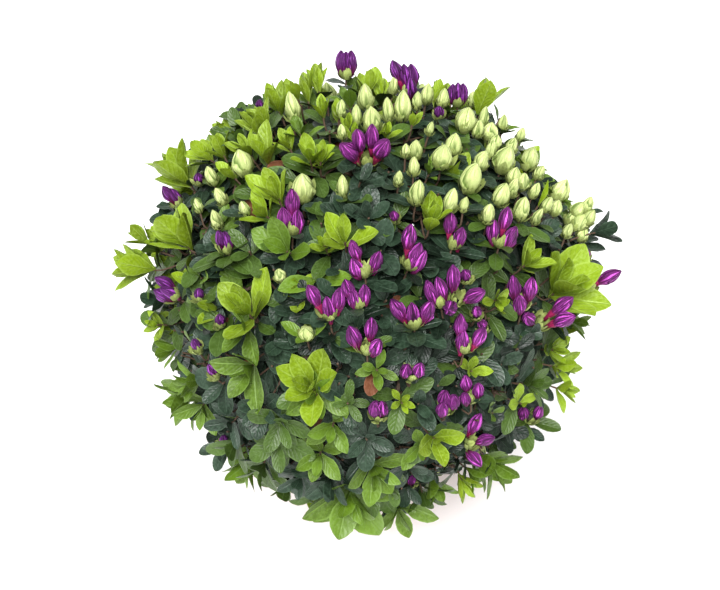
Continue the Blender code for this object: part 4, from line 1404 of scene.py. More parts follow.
def leaf_material(name, colour, look):
    """A leaf: its tone, lighter midrib and rim, cushions between side veins, painted sheen, painted foot
    shade, soft gloss.
    """
    material, tree, shader, place = surface_material(name, look.roughness, look.specular)
    across, up, _ = tree.parts(tree.attribute("leaf_place", "Vector"))
    off = tree.math("ABSOLUTE", across)
    # The lighter colour serves the real midrib and rim, and also the painted sheen patches
    light = shaded(paled(colour, 0.15), look.light)
    base = mixed(tree, tree.attribute("tone"), shaded(colour, 0.62), shaded(colour, 1.28))
    patches = stretched(tree, fine_noise(tree, place, 70.0), 0.35, 0.65)
    base = mixed(tree, patches * 0.35, base, shaded(colour, 1.4))
    swept = up.times_plus(7.0, off * -2.4)
    cushions = tree.math("ABSOLUTE", tree.math("SINE", swept * math.pi))
    cushions = tree.math("POWER", cushions, 0.6)
    veins = stretched(tree, cushions, 0.1, 0.6, 0.35 * look.veins, 0.0)
    base = mixed(tree, veins, base, shaded(colour, 0.62))
    # Painted sheen: pale patches of gloss mixed into the leaf's colour
    sheen_mottle = fine_noise(tree, place, 420.0, 2.0)
    base = mixed(tree, stretched(tree, sheen_mottle, 0.42, 0.68, 0.0, 0.35), base, light)
    # Painted shade: each leaf darker towards its foot, where the leaves around it shade it
    base = mixed(tree, stretched(tree, up, 0.05, 0.6, 0.6, 0.0), base, shaded(colour, 0.35))
    base = mixed(tree, stretched(tree, off, 0.02, 0.09, look.rib, 0.0), base, light)
    base = mixed(tree, stretched(tree, off, 0.82, 0.98, 0.0, look.rim), base, light)
    least, most = look.roughness - 0.06, look.roughness + 0.12
    gloss = stretched(tree, fine_noise(tree, place, 160.0), 0.3, 0.7, least, most)
    tree.link(gloss, shader.inputs["Roughness"])
    height = cushions.times_plus(0.6 * look.veins, stretched(tree, off, 0.0, 0.1))
    height = sheen_mottle.times_plus(0.8, height)
    finished(tree, shader, base, height, 0.7, 0.0007)
    return material


class PetalLook(NamedTuple):
    """Gloss, number of rolled petals, strength of creases and their painted shade, their fineness, painted
    highlight of crests.
    """

    roughness: float
    petals: int
    creases: float
    fineness: float
    crest: float


def petal_light(tree, lap, crease, line, creases):
    """How light rolled petals are: painted shade where they lap and in their creases."""
    thin = stretched(tree, line, 0.0, 1.0, 1.0 - creases, 1.0)
    broad = stretched(tree, crease, 0.40, 0.62, 1.0 - creases * 0.8, 1.0)
    edge = stretched(tree, lap, 0.02, 0.22) * stretched(tree, lap, 0.95, 1.0, 1.0, 0.5)
    return thin * broad * edge, edge


def bud_material(name, colours, look):
    """Rolled petals in three colours: their folds, the painted shade of the furrows where they lap, and their
    foot.
    """
    ridge, furrow, foot = colours
    material, tree, shader, place = surface_material(name, look.roughness, 0.28)
    tone = tree.attribute("tone")
    x, y, up = tree.parts(tree.attribute("bud_place", "Vector"))
    lap = petal_phase(tree, x, y, up, tone, look.petals)
    own = tone.times_plus(50.0, up * 1.1)
    fine_place = tree.combined(x * look.fineness, y * look.fineness, own)
    crease = fine_noise(tree, fine_place, 1.0, 2.0)
    line = stretched(tree, tree.math("ABSOLUTE", crease - 0.5), 0.0, 0.09)
    lit, edge = petal_light(tree, lap, crease, line, look.creases)
    # The furrow colour is painted shade in the laps and creases of the petals
    base = mixed(tree, lit, furrow, ridge)
    silk = fine_noise(tree, place, 900.0, 2.0)
    # Painted highlight: the crests of the petals lighter, in silky streaks
    crest = stretched(tree, lit, 0.7, 1.0) * stretched(tree, silk, 0.4, 0.7, 0.0, 0.6)
    base = mixed(tree, crest, base, shaded(paled(ridge, 0.1), look.crest))
    base = mixed(tree, stretched(tree, up, 0.05, 0.45, 0.75, 0.0), base, foot)
    base = mixed(tree, tone * 0.25, base, shaded(ridge, 0.5))
    relief = line + crease + silk.times_plus(0.35, edge)
    finished(tree, shader, base, relief, 0.4 + 0.6 * look.creases, 0.0011)
    return material


def bark_material(name, old, young):
    """Bark that is greener on thin growth and grey and fissured on thick limbs."""
    material, tree, shader, place = surface_material(name, 0.85, 0.3)
    grain = fine_noise(tree, tree.vector("MULTIPLY", place, (1.0, 1.0, 0.25)), 320.0, 5.0)
    base = mixed(tree, stretched(tree, grain, 0.35, 0.65), shaded(old, 0.55), shaded(old, 1.35))
    thinness = stretched(tree, tree.attribute("girth"), 0.0008, 0.0016, 0.8, 0.0)
    finished(tree, shader, mixed(tree, thinness, base, young), grain, 0.8, 0.0012)
    return material


def clay_material(name, clay, bloom):
    """Unglazed clay with pale bloom, darker damp patches and a fine grain."""
    material, tree, shader, place = surface_material(name, 0.88, 0.25)
    broad = fine_noise(tree, tree.vector("MULTIPLY", place, (1.0, 1.0, 1.6)), 16.0, 6.0)
    speckle = fine_noise(tree, place, 420.0, 2.0)
    rings = fine_noise(tree, tree.vector("MULTIPLY", place, (0.4, 0.4, 12.0)), 22.0, 2.0)
    base = mixed(tree, stretched(tree, rings, 0.3, 0.7), shaded(clay, 0.86), shaded(clay, 1.1))
    base = mixed(tree, stretched(tree, broad, 0.50, 0.78, 0.0, 0.5), base, bloom)
    base = mixed(tree, stretched(tree, broad, 0.42, 0.30, 0.0, 0.5), base, shaded(clay, 0.55))
    base = mixed(tree, stretched(tree, speckle, 0.62, 0.72, 0.0, 0.35), base, shaded(clay, 0.6))
    relief = rings * 0.7 + speckle * 0.3
    finished(tree, shader, base, relief, 0.5, 0.001)
    return material


def soil_material(name, soil, fibre):
    """Dark crumbly compost with paler fibres."""
    material, tree, shader, place = surface_material(name, 0.95, 0.15)
    crumbs = fine_noise(tree, place, 140.0, 6.0)
    fine = fine_noise(tree, place, 700.0, 2.0)
    base = mixed(tree, stretched(tree, crumbs, 0.3, 0.7), shaded(soil, 0.5), shaded(soil, 1.5))
    base = mixed(tree, stretched(tree, fine, 0.62, 0.7, 0.0, 0.8), base, fibre)
    finished(tree, shader, base, crumbs + fine, 1.0, 0.003)
    return material


def length_setting(name, about, default):
    return bpy.props.FloatProperty(name=name, description=about, default=default, unit="LENGTH", precision=4)


def share_setting(name, about, default):
    return bpy.props.FloatProperty(name=name, description=about, default=default, subtype="FACTOR")


def angle_setting(name, about, degrees):
    default = math.radians(degrees)
    return bpy.props.FloatProperty(name=name, description=about, default=default, subtype="ANGLE")


def number_setting(name, about, default):
    return bpy.props.FloatProperty(name=name, description=about, default=default)


def count_setting(name, about, default):
    return bpy.props.IntProperty(name=name, description=about, default=default)


def colour_setting(name, about, default):
    return bpy.props.FloatVectorProperty(
        name=name, description=about, default=default, size=3, subtype="COLOR", min=0.0, max=1.0
    )


class CrownSettings(bpy.types.PropertyGroup):
    seed: count_setting("Seed", "Which chance growth of the crown", 11)
    outer_shoots: count_setting("Outer shoots", "Free shoots at the surface", 700)
    inner_shoots: count_setting("Inner shoots", "Older shoots further in", 300)
    bud_depth: share_setting("Bud depth", "Where budded shoots end, as a share of the reach", 0.86)
    shoot_depth: share_setting("Shoot depth", "Where other shoots end, as a share of the reach", 0.83)
    inner_depth: share_setting("Inner depth", "Where older shoots end, as a share of the reach", 0.70)
    clear_pixels: number_setting("Clear pixels", "How far leaves keep off a young rosette in the view", 5.0)


class LeafSettings(bpy.types.PropertyGroup):
    edge_wave: number_setting("Edge wave", "How much a leaf's edge waves, as a share of its width", 0.035)
    lime: colour_setting("Lime leaves", "Youngest leaves", (0.20, 0.30, 0.009))
    fresh: colour_setting("Fresh leaves", "This season's leaves", (0.088, 0.160, 0.009))
    mid: colour_setting("Green leaves", "Full grown leaves", (0.045, 0.087, 0.010))
    dark: colour_setting("Dark leaves", "Last season's leaves", (0.018, 0.036, 0.020))
    # The oldest leaves further in are near black: partly their own colour, partly painted shade deep in the
    # crown
    old: colour_setting("Oldest leaves", "Blue-green leaves further in", (0.008, 0.016, 0.009))
    russet: colour_setting("Russet leaves", "A few leaves about to fall", (0.16, 0.055, 0.022))
    scale: colour_setting("Bud scales", "Scales that clasp the buds", (0.28, 0.34, 0.09))


BUD_SIZES = ("purple_length", "purple_radius", "green_length", "green_longest", "green_radius")


class BudSettings(bpy.types.PropertyGroup):
    purple_length: length_setting("Purple bud length", "From foot to point", 0.0200)
    purple_radius: length_setting("Purple bud radius", "At its widest", 0.0051)
    green_length: length_setting("Green bud length", "From foot to point", 0.0215)
    green_longest: number_setting("Green bud slimness", "Most length of a green bud for its width", 1.9)
    green_radius: length_setting("Green bud radius", "At its widest", 0.0076)
    ridge: colour_setting("Petal ridges", "Rolled petals of a purple bud", (0.52, 0.065, 0.50))
    violet: colour_setting("Violet petals", "Rolled petals of a less open bud", (0.28, 0.042, 0.37))
    # Painted shade: the furrow colour darkens the petals where they lap and crease
    furrow: colour_setting("Petal furrows", "Between the rolled petals", (0.03, 0.002, 0.026))
    claw: colour_setting("Petal claws", "Reddish foot of the petals", (0.38, 0.015, 0.10))
    green_ridge: colour_setting("Green bud", "Scales of a green bud", (0.62, 0.71, 0.27))
    # Painted shade: the seam colour darkens a green bud where its scales lap
    green_furrow: colour_setting("Green bud seams", "Seams between its scales", (0.12, 0.20, 0.035))
    green_foot: colour_setting("Green bud foot", "Lower scales of a green bud", (0.28, 0.39, 0.08))


class WoodSettings(bpy.types.PropertyGroup):
    bark_depth: length_setting("Bark depth", "Relief of the bark on the stem and boughs", 0.0022)
    old_bark: colour_setting("Old bark", "Bark of the stem and boughs", (0.15, 0.105, 0.075))
    young_bark: colour_setting("Young bark", "Thin shoots", (0.085, 0.05, 0.03))


class PotSettings(bpy.types.PropertyGroup):
    wall: length_setting("Wall", "Thickness of the pot's wall", 0.008)
    rim_height: length_setting("Rim height", "Height of the band at the rim", 0.034)
    foot_radius: length_setting("Foot radius", "Outside radius at the foot", 0.076)
    neck_radius: length_setting("Neck radius", "Outside radius below the rim", 0.104)
    rounding: length_setting("Rounding", "Radius of the pot's edges", 0.003)
    throwing_rings: length_setting("Throwing rings", "Depth of the faint rings of its body", 0.0002)
    crumbs: count_setting("Crumbs", "Pieces of bark on the soil", 1300)
    clay: colour_setting("Clay", "Unglazed clay", (0.41, 0.155, 0.08))
    bloom: colour_setting("Bloom", "Pale salts on the clay", (0.62, 0.50, 0.42))
    soil: colour_setting("Soil", "Potting mix", (0.040, 0.026, 0.018))
    fibre: colour_setting("Fibres", "Paler bits in the mix", (0.16, 0.10, 0.06))


class StageSettings(bpy.types.PropertyGroup):
    floor: colour_setting("Floor", "Pale floor", (0.92, 0.92, 0.92))
    sky: number_setting("Sky", "Strength of the even light from above", 0.27)
    horizon: number_setting("Horizon", "Strength of the even light from the sides", 0.9)
    key: number_setting("Key light", "Strength of the soft light from above", 6.0)
    key_spread: angle_setting("Key spread", "Angle that the soft light covers", 38.0)
    lens: number_setting("Lens", "Focal length in millimetres", 58.3)


def joined_to_plant(obj, nodes=()):
    """Puts a piece on the plant's body, and hides the solids that it stands for."""
    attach(obj, "root")
    if nodes:
        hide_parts(*nodes)


def wears_only(obj, material):
    """Gives an object one material in place of all that it has."""
    obj.data.materials.clear()
    obj.data.materials.append(material)


class BuildPot(bpy.types.Operator):
    """Builds the clay pot, with a rounded rim, faint throwing rings and drain holes"""

    bl_idname = "rhododendron.build_pot"
    bl_label = "Pot"

    def execute(self, context):
        settings = context.scene.rhododendron_pot
        obj = pot(settings)
        wears_only(obj, clay_material("unglazed_clay", settings.clay, settings.bloom))
        joined_to_plant(obj, ["pot"])
        return {"FINISHED"}


# The pot: its floor, its edges and the holes in its floor
POT_FLOOR = 0.011
POT_SIDES = 96
INNER_ROUNDING = 0.002
BAND_SLOPE = 0.0018
BAND_ROUNDING = 0.0012
NECK_ROUNDING = 0.0008
FOOT_CHAMFER = 0.0012
FOOT_SWELL = 0.0003
FOOT_HEIGHT = 0.0015
RING_STEP = 0.0022
RING_GRAIN = 260.0
DRAIN_HOLES = 4
DRAIN_RING = 0.045
DRAIN_RADIUS = 0.006
DRAIN_DEPTH = 0.04


def arc(centre, radius, start, end, steps):
    """Points of (radius, height) along an arc, with its angles in degrees above level."""
    points = []
    for i in range(steps + 1):
        angle = math.radians(start + (end - start) * i / steps)
        points.append((centre[0] + radius * math.cos(angle), centre[1] + radius * math.sin(angle)))
    return points


def rings_between(start, end, depth):
    """Points from one (radius, height) to another with faint rings on the way."""
    steps = max(2, round(abs(end[1] - start[1]) / RING_STEP))
    points = []
    for i in range(1, steps):
        share = i / steps
        radius = start[0] + (end[0] - start[0]) * share
        height = start[1] + (end[1] - start[1]) * share
        ripple = depth * noise.noise(Vector((0.0, 7.0, height * RING_GRAIN)))
        points.append((radius + ripple, height))
    return points


def pot_profile(settings):
    """(radius, height) points from the middle of the pot's floor over its rim to the middle of its foot."""
    wall, rounding, rings = settings.wall, settings.rounding, settings.throwing_rings
    rim_foot = POT_TOP - settings.rim_height
    slope = (settings.neck_radius - settings.foot_radius) / rim_foot
    inner_foot = settings.foot_radius + slope * POT_FLOOR - wall
    inner_top = POT_RIM_RADIUS - wall - rounding
    low, high = (inner_foot, POT_FLOOR + INNER_ROUNDING), (inner_top, POT_TOP - INNER_ROUNDING)
    band_foot = (POT_RIM_RADIUS - BAND_SLOPE, rim_foot + BAND_ROUNDING)
    neck = (settings.neck_radius, rim_foot - NECK_ROUNDING)
    foot_edge = (settings.foot_radius + FOOT_SWELL, FOOT_HEIGHT)
    profile = [(radius, POT_FLOOR) for radius in (0.0, inner_foot * 0.5, inner_foot - INNER_ROUNDING)]
    profile += [low] + rings_between(low, high, 0.0)
    profile += arc((inner_top + INNER_ROUNDING, high[1]), INNER_ROUNDING, 180.0, 90.0, 4)
    profile += arc((POT_RIM_RADIUS - rounding, POT_TOP - rounding), rounding, 90.0, 0.0, 5)
    profile += rings_between((POT_RIM_RADIUS, POT_TOP - rounding), band_foot, rings)
    profile += arc((band_foot[0] - BAND_ROUNDING, band_foot[1]), BAND_ROUNDING, 0.0, -90.0, 4)
    profile += [(settings.neck_radius + NECK_ROUNDING, rim_foot), neck]
    profile += rings_between(neck, foot_edge, rings)
    return profile + [foot_edge, (settings.foot_radius - FOOT_CHAMFER, 0.0), (0.0, 0.0)]


def drain_holes():
    """Upright rods that the drain holes are cut with."""
    bm = bmesh.new()
    for i in range(DRAIN_HOLES):
        place = Matrix.Translation(direction(math.pi / 2, math.tau * i / DRAIN_HOLES) * DRAIN_RING)
        sizes = {"radius1": DRAIN_RADIUS, "radius2": DRAIN_RADIUS, "depth": DRAIN_DEPTH}
        bmesh.ops.create_cone(bm, cap_ends=True, segments=24, matrix=place, **sizes)
    return placed("drain_holes", mesh_from(bm, "drain_holes"))


def pot(settings):
    """The pot: its profile turned round, with its drain holes cut."""
    profile = pot_profile(settings)
    mesh = bpy.data.meshes.new("clay_pot")
    edges = [(i, i + 1) for i in range(len(profile) - 1)]
    mesh.from_pydata([(radius, 0.0, height) for radius, height in profile], edges, [])
    obj = placed("clay_pot", mesh)
    screw = obj.modifiers.new("turn", "SCREW")
    screw.steps = screw.render_steps = POT_SIDES
    screw.use_merge_vertices = True
    screw.merge_threshold = 0.0001
    holes = drain_holes()
    obj.modifiers.new("drain holes", "BOOLEAN").object = holes
    settled(obj)
    bpy.data.objects.remove(holes, do_unlink=True)
    bm = bmesh.new()
    bm.from_mesh(obj.data)
    bmesh.ops.recalc_face_normals(bm, faces=bm.faces)
    bm.to_mesh(obj.data)
    bm.free()
    obj.data.shade_smooth()
    return obj


class BuildSoil(bpy.types.Operator):
    """Builds the crumbly top of the potting mix, with pieces of bark on it"""

    bl_idname = "rhododendron.build_soil"
    bl_label = "Soil"

    def execute(self, context):
        settings = context.scene.rhododendron_pot
        wears_only(frame["nodes"]["potting_soil"], soil_material("compost", settings.soil, settings.fibre))
        joined_to_plant(soil_crumbs(settings))
        return {"FINISHED"}


# Pieces of bark on the soil: size, least and most stretch, and how rough they are
CRUMB_SIZE = 0.0022
CRUMB_LEAST = (0.5, 0.35, 0.3)
CRUMB_MOST = (1.8, 1.0, 0.7)
CRUMB_ROUGHNESS = 0.0022
# The surface that they lie on: its margin, and how far it is sunk in the middle and falls to its edge
CRUMB_MARGIN = 0.006
CRUMB_SUNK = 0.001
CRUMB_FALL = 0.0028


def crumb_tree():
    """Scatters small rough lumps over a surface."""
    inputs = {"Count per area": 40000.0, "Lump size": CRUMB_SIZE, "Seed": 3}
    tree, given = geometry_tree("bark_crumbs", inputs)
    values = {"Mesh": given["Geometry"], "Density": given["Count per area"], "Seed": given["Seed"]}
    points = tree.add("GeometryNodeDistributePointsOnFaces", values)
    lump = tree.add("GeometryNodeMeshIcoSphere", {"Radius": given["Lump size"], "Subdivisions": 1})
    values = {1: (math.tau,) * 3, "Seed": 5}
    turn = tree.add("FunctionNodeRandomValue", values, data_type="FLOAT_VECTOR")
    turn = tree.add("FunctionNodeEulerToRotation", {"Euler": turn})
    values = {0: CRUMB_LEAST, 1: CRUMB_MOST, "Seed": 9}
    stretch = tree.add("FunctionNodeRandomValue", values, data_type="FLOAT_VECTOR")
    values = {"Points": points, "Instance": lump, "Rotation": turn, "Scale": stretch}
    many = tree.add("GeometryNodeInstanceOnPoints", values)
    many = tree.add("GeometryNodeRealizeInstances", {"Geometry": many})
    place = tree.add("GeometryNodeInputPosition", {})
    rough = tree.add("ShaderNodeTexNoise", {"Vector": place, "Scale": 420.0, "Detail": 2.0}, "Color")
    offset = tree.scaled(tree.vector("SUBTRACT", rough, (0.5, 0.5, 0.5)), CRUMB_ROUGHNESS)
    many = tree.add("GeometryNodeSetPosition", {"Geometry": many, "Offset": offset})
    return close_tree(tree, many, given["Material"], smooth=False)


def soil_crumbs(settings):
    """Pieces of bark over the top of the soil, a little sunk in."""
    bm = bmesh.new()
    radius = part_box("potting_soil")[1].x - CRUMB_MARGIN
    bmesh.ops.create_circle(bm, cap_ends=True, cap_tris=True, segments=48, radius=radius)
    for vertex in bm.verts:
        vertex.co.z = SOIL_TOP - CRUMB_SUNK - CRUMB_FALL * (vertex.co.length / radius) ** 2
    obj = placed("soil_crumbs", mesh_from(bm, "soil_crumbs"))
    look = soil_material("bark_crumb", shaded(settings.fibre, 0.8), settings.fibre)
    density = settings.crumbs / (math.pi * radius**2)
    return shape_from(obj, crumb_tree(), {"Count per area": density, "Material": look})


class GrowLimbs(bpy.types.Operator):
    """Grows the stem and the boughs, with the relief of their bark"""

    bl_idname = "rhododendron.grow_limbs"
    bl_label = "Stem and boughs"

    def execute(self, context):
        wood = context.scene.rhododendron_wood
        look = bark_material("old_bark", wood.old_bark, wood.old_bark)
        group = limb_tree("bark_limbs", 20)
        values = {"Smoothness": 2, "Bark depth": wood.bark_depth, "Bark grain": 300.0, "Material": look}
        trunk = shape_from(placed("bark_stem", line_mesh("bark_stem", [stem_line()])), group, values)
        spread_roots(trunk.data)
        joined_to_plant(trunk, ["stem"])
        values["Bark depth"] = wood.bark_depth * 0.5
        boughs = placed("bark_boughs", line_mesh("bark_boughs", bough_lines()))
        joined_to_plant(shape_from(boughs, group, values), BOUGH_NODES)
        return {"FINISHED"}


def bough_lines():
    """(point, radius) along each bough, from a little inside the knuckle to its mass."""
    lines = []
    taper = BOUGH_TIP_RADIUS - BOUGH_ROOT_RADIUS
    for mass in crown_masses(BOUGH_POINTS):
        last = len(mass.bough) - 1
        root = mass.bough[0] + (mass.bough[0] - mass.bough[1]).normalized() * BOUGH_SUNK
        line = [(root, BOUGH_ROOT_RADIUS * BOUGH_SWELL)]
        line += [(point, BOUGH_ROOT_RADIUS + taper * i / last) for i, point in enumerate(mass.bough)]
        lines.append(line)
    return lines


# The knuckle starts at this angle below level, and ends with this radius
KNUCKLE_FOOT = -48.0
KNUCKLE_STEPS = 7
KNUCKLE_TOP_RADIUS = 0.0006
STEM_STEP = 0.0016


def stem_line():
    """(point, radius) up the stem, from its flare on the soil to the top of the knuckle."""
    ground = SOIL_TOP + GAP
    fork = ground + STEM_HEIGHT
    outline = [
        (ground, FLARE_RADIUS),
        (ground + FLARE_HEIGHT * 0.45, WAIST_RADIUS * 1.35),
        (ground + FLARE_HEIGHT, WAIST_RADIUS * 1.08),
        (fork - KNUCKLE_RADIUS * 1.15, WAIST_RADIUS),
    ]
    for radius, height in arc((0.0, fork), KNUCKLE_RADIUS, KNUCKLE_FOOT, 90.0, KNUCKLE_STEPS):
        outline.append((height, max(KNUCKLE_TOP_RADIUS, radius)))
    line = []
    for (low, start), (high, end) in zip(outline, outline[1:]):
        steps = max(1, round((high - low) / STEM_STEP))
        for i in range(steps):
            line.append((low + (high - low) * i / steps, start + (end - start) * i / steps))
    line.append(outline[-1])
    rise = STEM_HEIGHT - KNUCKLE_RADIUS
    return [(Vector((0, 0, z)) + STEM_LEAN * min(1.0, (z - ground) / rise), radius) for z, radius in line]


def spread_roots(mesh):
    """Draws the foot of the stem out into lobes."""
    ground = SOIL_TOP + GAP
    rise = STEM_HEIGHT - KNUCKLE_RADIUS
    for vertex in mesh.vertices:
        share = min(1.0, max(0.0, (vertex.co.z - ground) / rise))
        centre = STEM_LEAN * share
        azimuth = math.atan2(vertex.co.y - centre.y, vertex.co.x - centre.x)
        lobe = 1.0 + ROOT_LOBE_DEPTH * math.cos(ROOT_LOBES * azimuth) * (1.0 - share) ** 4
        vertex.co.x = centre.x + (vertex.co.x - centre.x) * lobe
        vertex.co.y = centre.y + (vertex.co.y - centre.y) * lobe


class GrowTwigs(bpy.types.Operator):
    """Grows the twigs that lead from the boughs to every shoot"""

    bl_idname = "rhododendron.grow_twigs"
    bl_label = "Twigs"

    def execute(self, context):
        wood = context.scene.rhododendron_wood
        look = bark_material("twig_bark", shaded(wood.old_bark, 0.9), wood.young_bark)
        lines = []
        for path in plant_of(context.scene).paths:
            lines.append([(point, TWIG_TIP_RADIUS * count**TWIG_THICKENING) for point, count in path])
        obj = placed("twigs", line_mesh("twigs", lines))
        values = {"Smoothness": 3, "Bark depth": 0.0004, "Material": look}
        joined_to_plant(shape_from(obj, limb_tree("twig_limbs", 6), values), FOLIAGE_NODES)
        return {"FINISHED"}


# Outlines of leaves and profiles of buds: share of the length, and share of the full width there
POINTED_OUTLINE = (
    (0.0, 0.07), (0.08, 0.12), (0.2, 0.42), (0.36, 0.80), (0.52, 1.0),
    (0.68, 0.96), (0.82, 0.72), (0.93, 0.38), (1.0, 0.04),
)
ROUND_OUTLINE = (
    (0.0, 0.07), (0.08, 0.13), (0.2, 0.46), (0.36, 0.84), (0.52, 1.0),
    (0.68, 1.0), (0.82, 0.84), (0.93, 0.54), (1.0, 0.08),
)
SCALE_OUTLINE = ((0.0, 0.45), (0.25, 0.95), (0.45, 1.0), (0.75, 0.62), (1.0, 0.04))
PURPLE_PROFILE = (
    (0.0, 0.32), (0.12, 0.50), (0.3, 0.82), (0.48, 1.0),
    (0.62, 0.97), (0.78, 0.78), (0.9, 0.50), (1.0, 0.14),
)
CLAW_PROFILE = ((0.0, 0.45), (0.4, 0.62), (0.8, 0.96), (1.0, 0.5))
GREEN_PROFILE = (
    (0.0, 0.46), (0.1, 0.74), (0.26, 0.97), (0.42, 1.0),
    (0.62, 0.89), (0.79, 0.65), (0.92, 0.36), (1.0, 0.08),
)
# The last number is how light a leaf's lighter parts are, its painted sheen among them: highest on the dark
# leaves
LEAF_LOOKS = {
    "lime": LeafLook(0.46, 0.30, 0.5, 0.6, 0.75, 1.8),
    "fresh": LeafLook(0.44, 0.34, 0.6, 0.7, 0.65, 1.9),
    "mid": LeafLook(0.40, 0.36, 0.55, 0.6, 0.6, 2.1),
    "dark": LeafLook(0.36, 0.34, 0.45, 0.45, 0.5, 3.4),
    "old": LeafLook(0.36, 0.30, 0.4, 0.4, 0.45, 3.4),
    "russet": LeafLook(0.50, 0.26, 0.5, 0.5, 0.6, 1.8),
}
SCALE_LOOK = LeafLook(0.5, 0.3, 0.2, 0.2, 0.4, 1.8)
# The last number is how bright the painted highlight on the petals' crests is
PETAL_LOOK = PetalLook(0.56, 4, 0.88, 3.6, 1.9)
CLAW_LOOK = PetalLook(0.45, 4, 0.5, 2.6, 1.3)
GREEN_LOOK = PetalLook(0.5, 3, 0.26, 2.0, 1.5)
# Columns and rows of points in a leaf, in one of the many oldest leaves, and in a scale
LEAF_GRID = (5, 8)
OLD_LEAF_GRID = (3, 7)
SCALE_GRID = (3, 5)
SCALE_EDGE_WAVE = 0.02
# How far into a bud its claw reaches, and how thick it is for the bud
CLAW_REACH = 0.28
CLAW_GIRTH = 0.6


class GrowLeaves(bpy.types.Operator):
    """Grows the leaves, each colour as a piece of its own, and the scales at the foot of the buds"""

    bl_idname = "rhododendron.grow_leaves"
    bl_label = "Leaves"

    def execute(self, context):
        leaves = context.scene.rhododendron_leaves
        plant = plant_of(context.scene)
        pointed = blade_tree("pointed_blades", POINTED_OUTLINE)
        rounded = blade_tree("rounded_blades", ROUND_OUTLINE)
        for kind in LEAF_KINDS:
            group = pointed if kind in ("lime", "fresh") else rounded
            look = leaf_material(f"{kind}_leaf", getattr(leaves, kind), LEAF_LOOKS[kind])
            grid = OLD_LEAF_GRID if kind == "old" else LEAF_GRID
            obj = blades(f"leaves_{kind}", group, plant.leaves[kind], look, leaves.edge_wave, *grid)
            joined_to_plant(obj, FOLIAGE_NODES)
        group = blade_tree("scale_blades", SCALE_OUTLINE)
        look = leaf_material("bud_scale", leaves.scale, SCALE_LOOK)
        obj = blades("bud_scales", group, plant.scales, look, SCALE_EDGE_WAVE, *SCALE_GRID)
        joined_to_plant(obj, FOLIAGE_NODES)
        return {"FINISHED"}


class GrowBuds(bpy.types.Operator):
    """Grows the purple buds with their reddish claws, and the green buds"""

    bl_idname = "rhododendron.grow_buds"
    bl_label = "Buds"

    def execute(self, context):
        settings = context.scene.rhododendron_buds
        buds = plant_of(context.scene).buds
        group = bud_tree("rolled_petals", PURPLE_PROFILE, PETAL_LOOK.petals, 0.15, 20)
        foot = shaded(settings.claw, 0.7)
        for kind, ridge in (("purple", settings.ridge), ("violet", settings.violet)):
            look = bud_material(f"{kind}_petal", (ridge, settings.furrow, foot), PETAL_LOOK)
            joined_to_plant(bud_piece(f"{kind}_buds", group, buds[kind], look), FOLIAGE_NODES)
        group = bud_tree("petal_claws", CLAW_PROFILE, CLAW_LOOK.petals, 0.12, 10)
        # The claws' furrow colour is the claw colour darkened by half, as painted shade in their creases
        colours = (settings.claw, shaded(settings.claw, 0.5), settings.claw)
        look = bud_material("petal_claw", colours, CLAW_LOOK)
        claws = [claw_of(bud) for bud in buds["purple"] + buds["violet"]]
        joined_to_plant(bud_piece("bud_claws", group, claws, look, 3), FOLIAGE_NODES)
        group = bud_tree("clasped_scales", GREEN_PROFILE, GREEN_LOOK.petals, 0.14, 20)
        colours = (settings.green_ridge, settings.green_furrow, settings.green_foot)
        look = bud_material("green_bud", colours, GREEN_LOOK)
        joined_to_plant(bud_piece("green_buds", group, buds["green"], look), FOLIAGE_NODES)
        return {"FINISHED"}


def claw_of(bud):
    """The claw of a purple bud, from the truss's tip to a little inside the bud."""
    into = bud.start.lerp(bud.end, CLAW_REACH)
    return bud._replace(start=bud.foot, end=into, radius=bud.radius * CLAW_GIRTH)


class SetStage(bpy.types.Operator):
    """Sets the pale floor, the soft light and the camera"""

    bl_idname = "rhododendron.set_stage"
    bl_label = "Stage"

    def execute(self, context):
        scene = context.scene
        stage = scene.rhododendron_stage
        add_floor(stage)
        add_light(stage)
        add_camera(scene, stage)
        scene.view_settings.view_transform = "Standard"
        return {"FINISHED"}


# The stage
FLOOR_HALF_WIDTH = 6.0
FLOOR_DROP = 0.0005
KEY_FROM = direction(math.radians(20.0), math.radians(-104.0))
# Heights of a direction between which the light of the horizon passes into that of the sky
HORIZON_BAND = (0.06, 0.26)
SENSOR_WIDTH = 36.0


def add_floor(stage):
    """A wide pale floor, just below the pot."""
    bm = bmesh.new()
    bmesh.ops.create_grid(bm, x_segments=1, y_segments=1, size=FLOOR_HALF_WIDTH)
    floor = placed("floor", mesh_from(bm, "floor"))
    material, tree, shader, place = surface_material("pale_floor", 0.9, 0.1)
    base = mixed(tree, fine_noise(tree, place, 3.0), shaded(stage.floor, 0.985), tuple(stage.floor))
    tree.link(base, shader.inputs["Base Color"])
    floor.data.materials.append(material)
    floor.location.z = -FLOOR_DROP


def add_light(stage):
    """Even light, stronger from the sides than from above, and a soft light from above and in front."""
    world = bpy.data.worlds.new("studio")
    world.use_nodes = True
    background = world.node_tree.nodes["Background"]
    background.inputs["Color"].default_value = (1.0, 1.0, 1.0, 1.0)
    tree = Tree(world.node_tree)
    _, _, height = tree.parts(tree.add("ShaderNodeTexCoord", {}, "Generated"))
    strength = stretched(tree, height, *HORIZON_BAND, stage.horizon, stage.sky)
    tree.link(strength, background.inputs["Strength"])
    bpy.context.scene.world = world
    light = bpy.data.lights.new("key", "SUN")
    light.energy = stage.key
    light.angle = stage.key_spread
    placed("key", light).rotation_euler = KEY_FROM.to_track_quat("Z", "Y").to_euler()


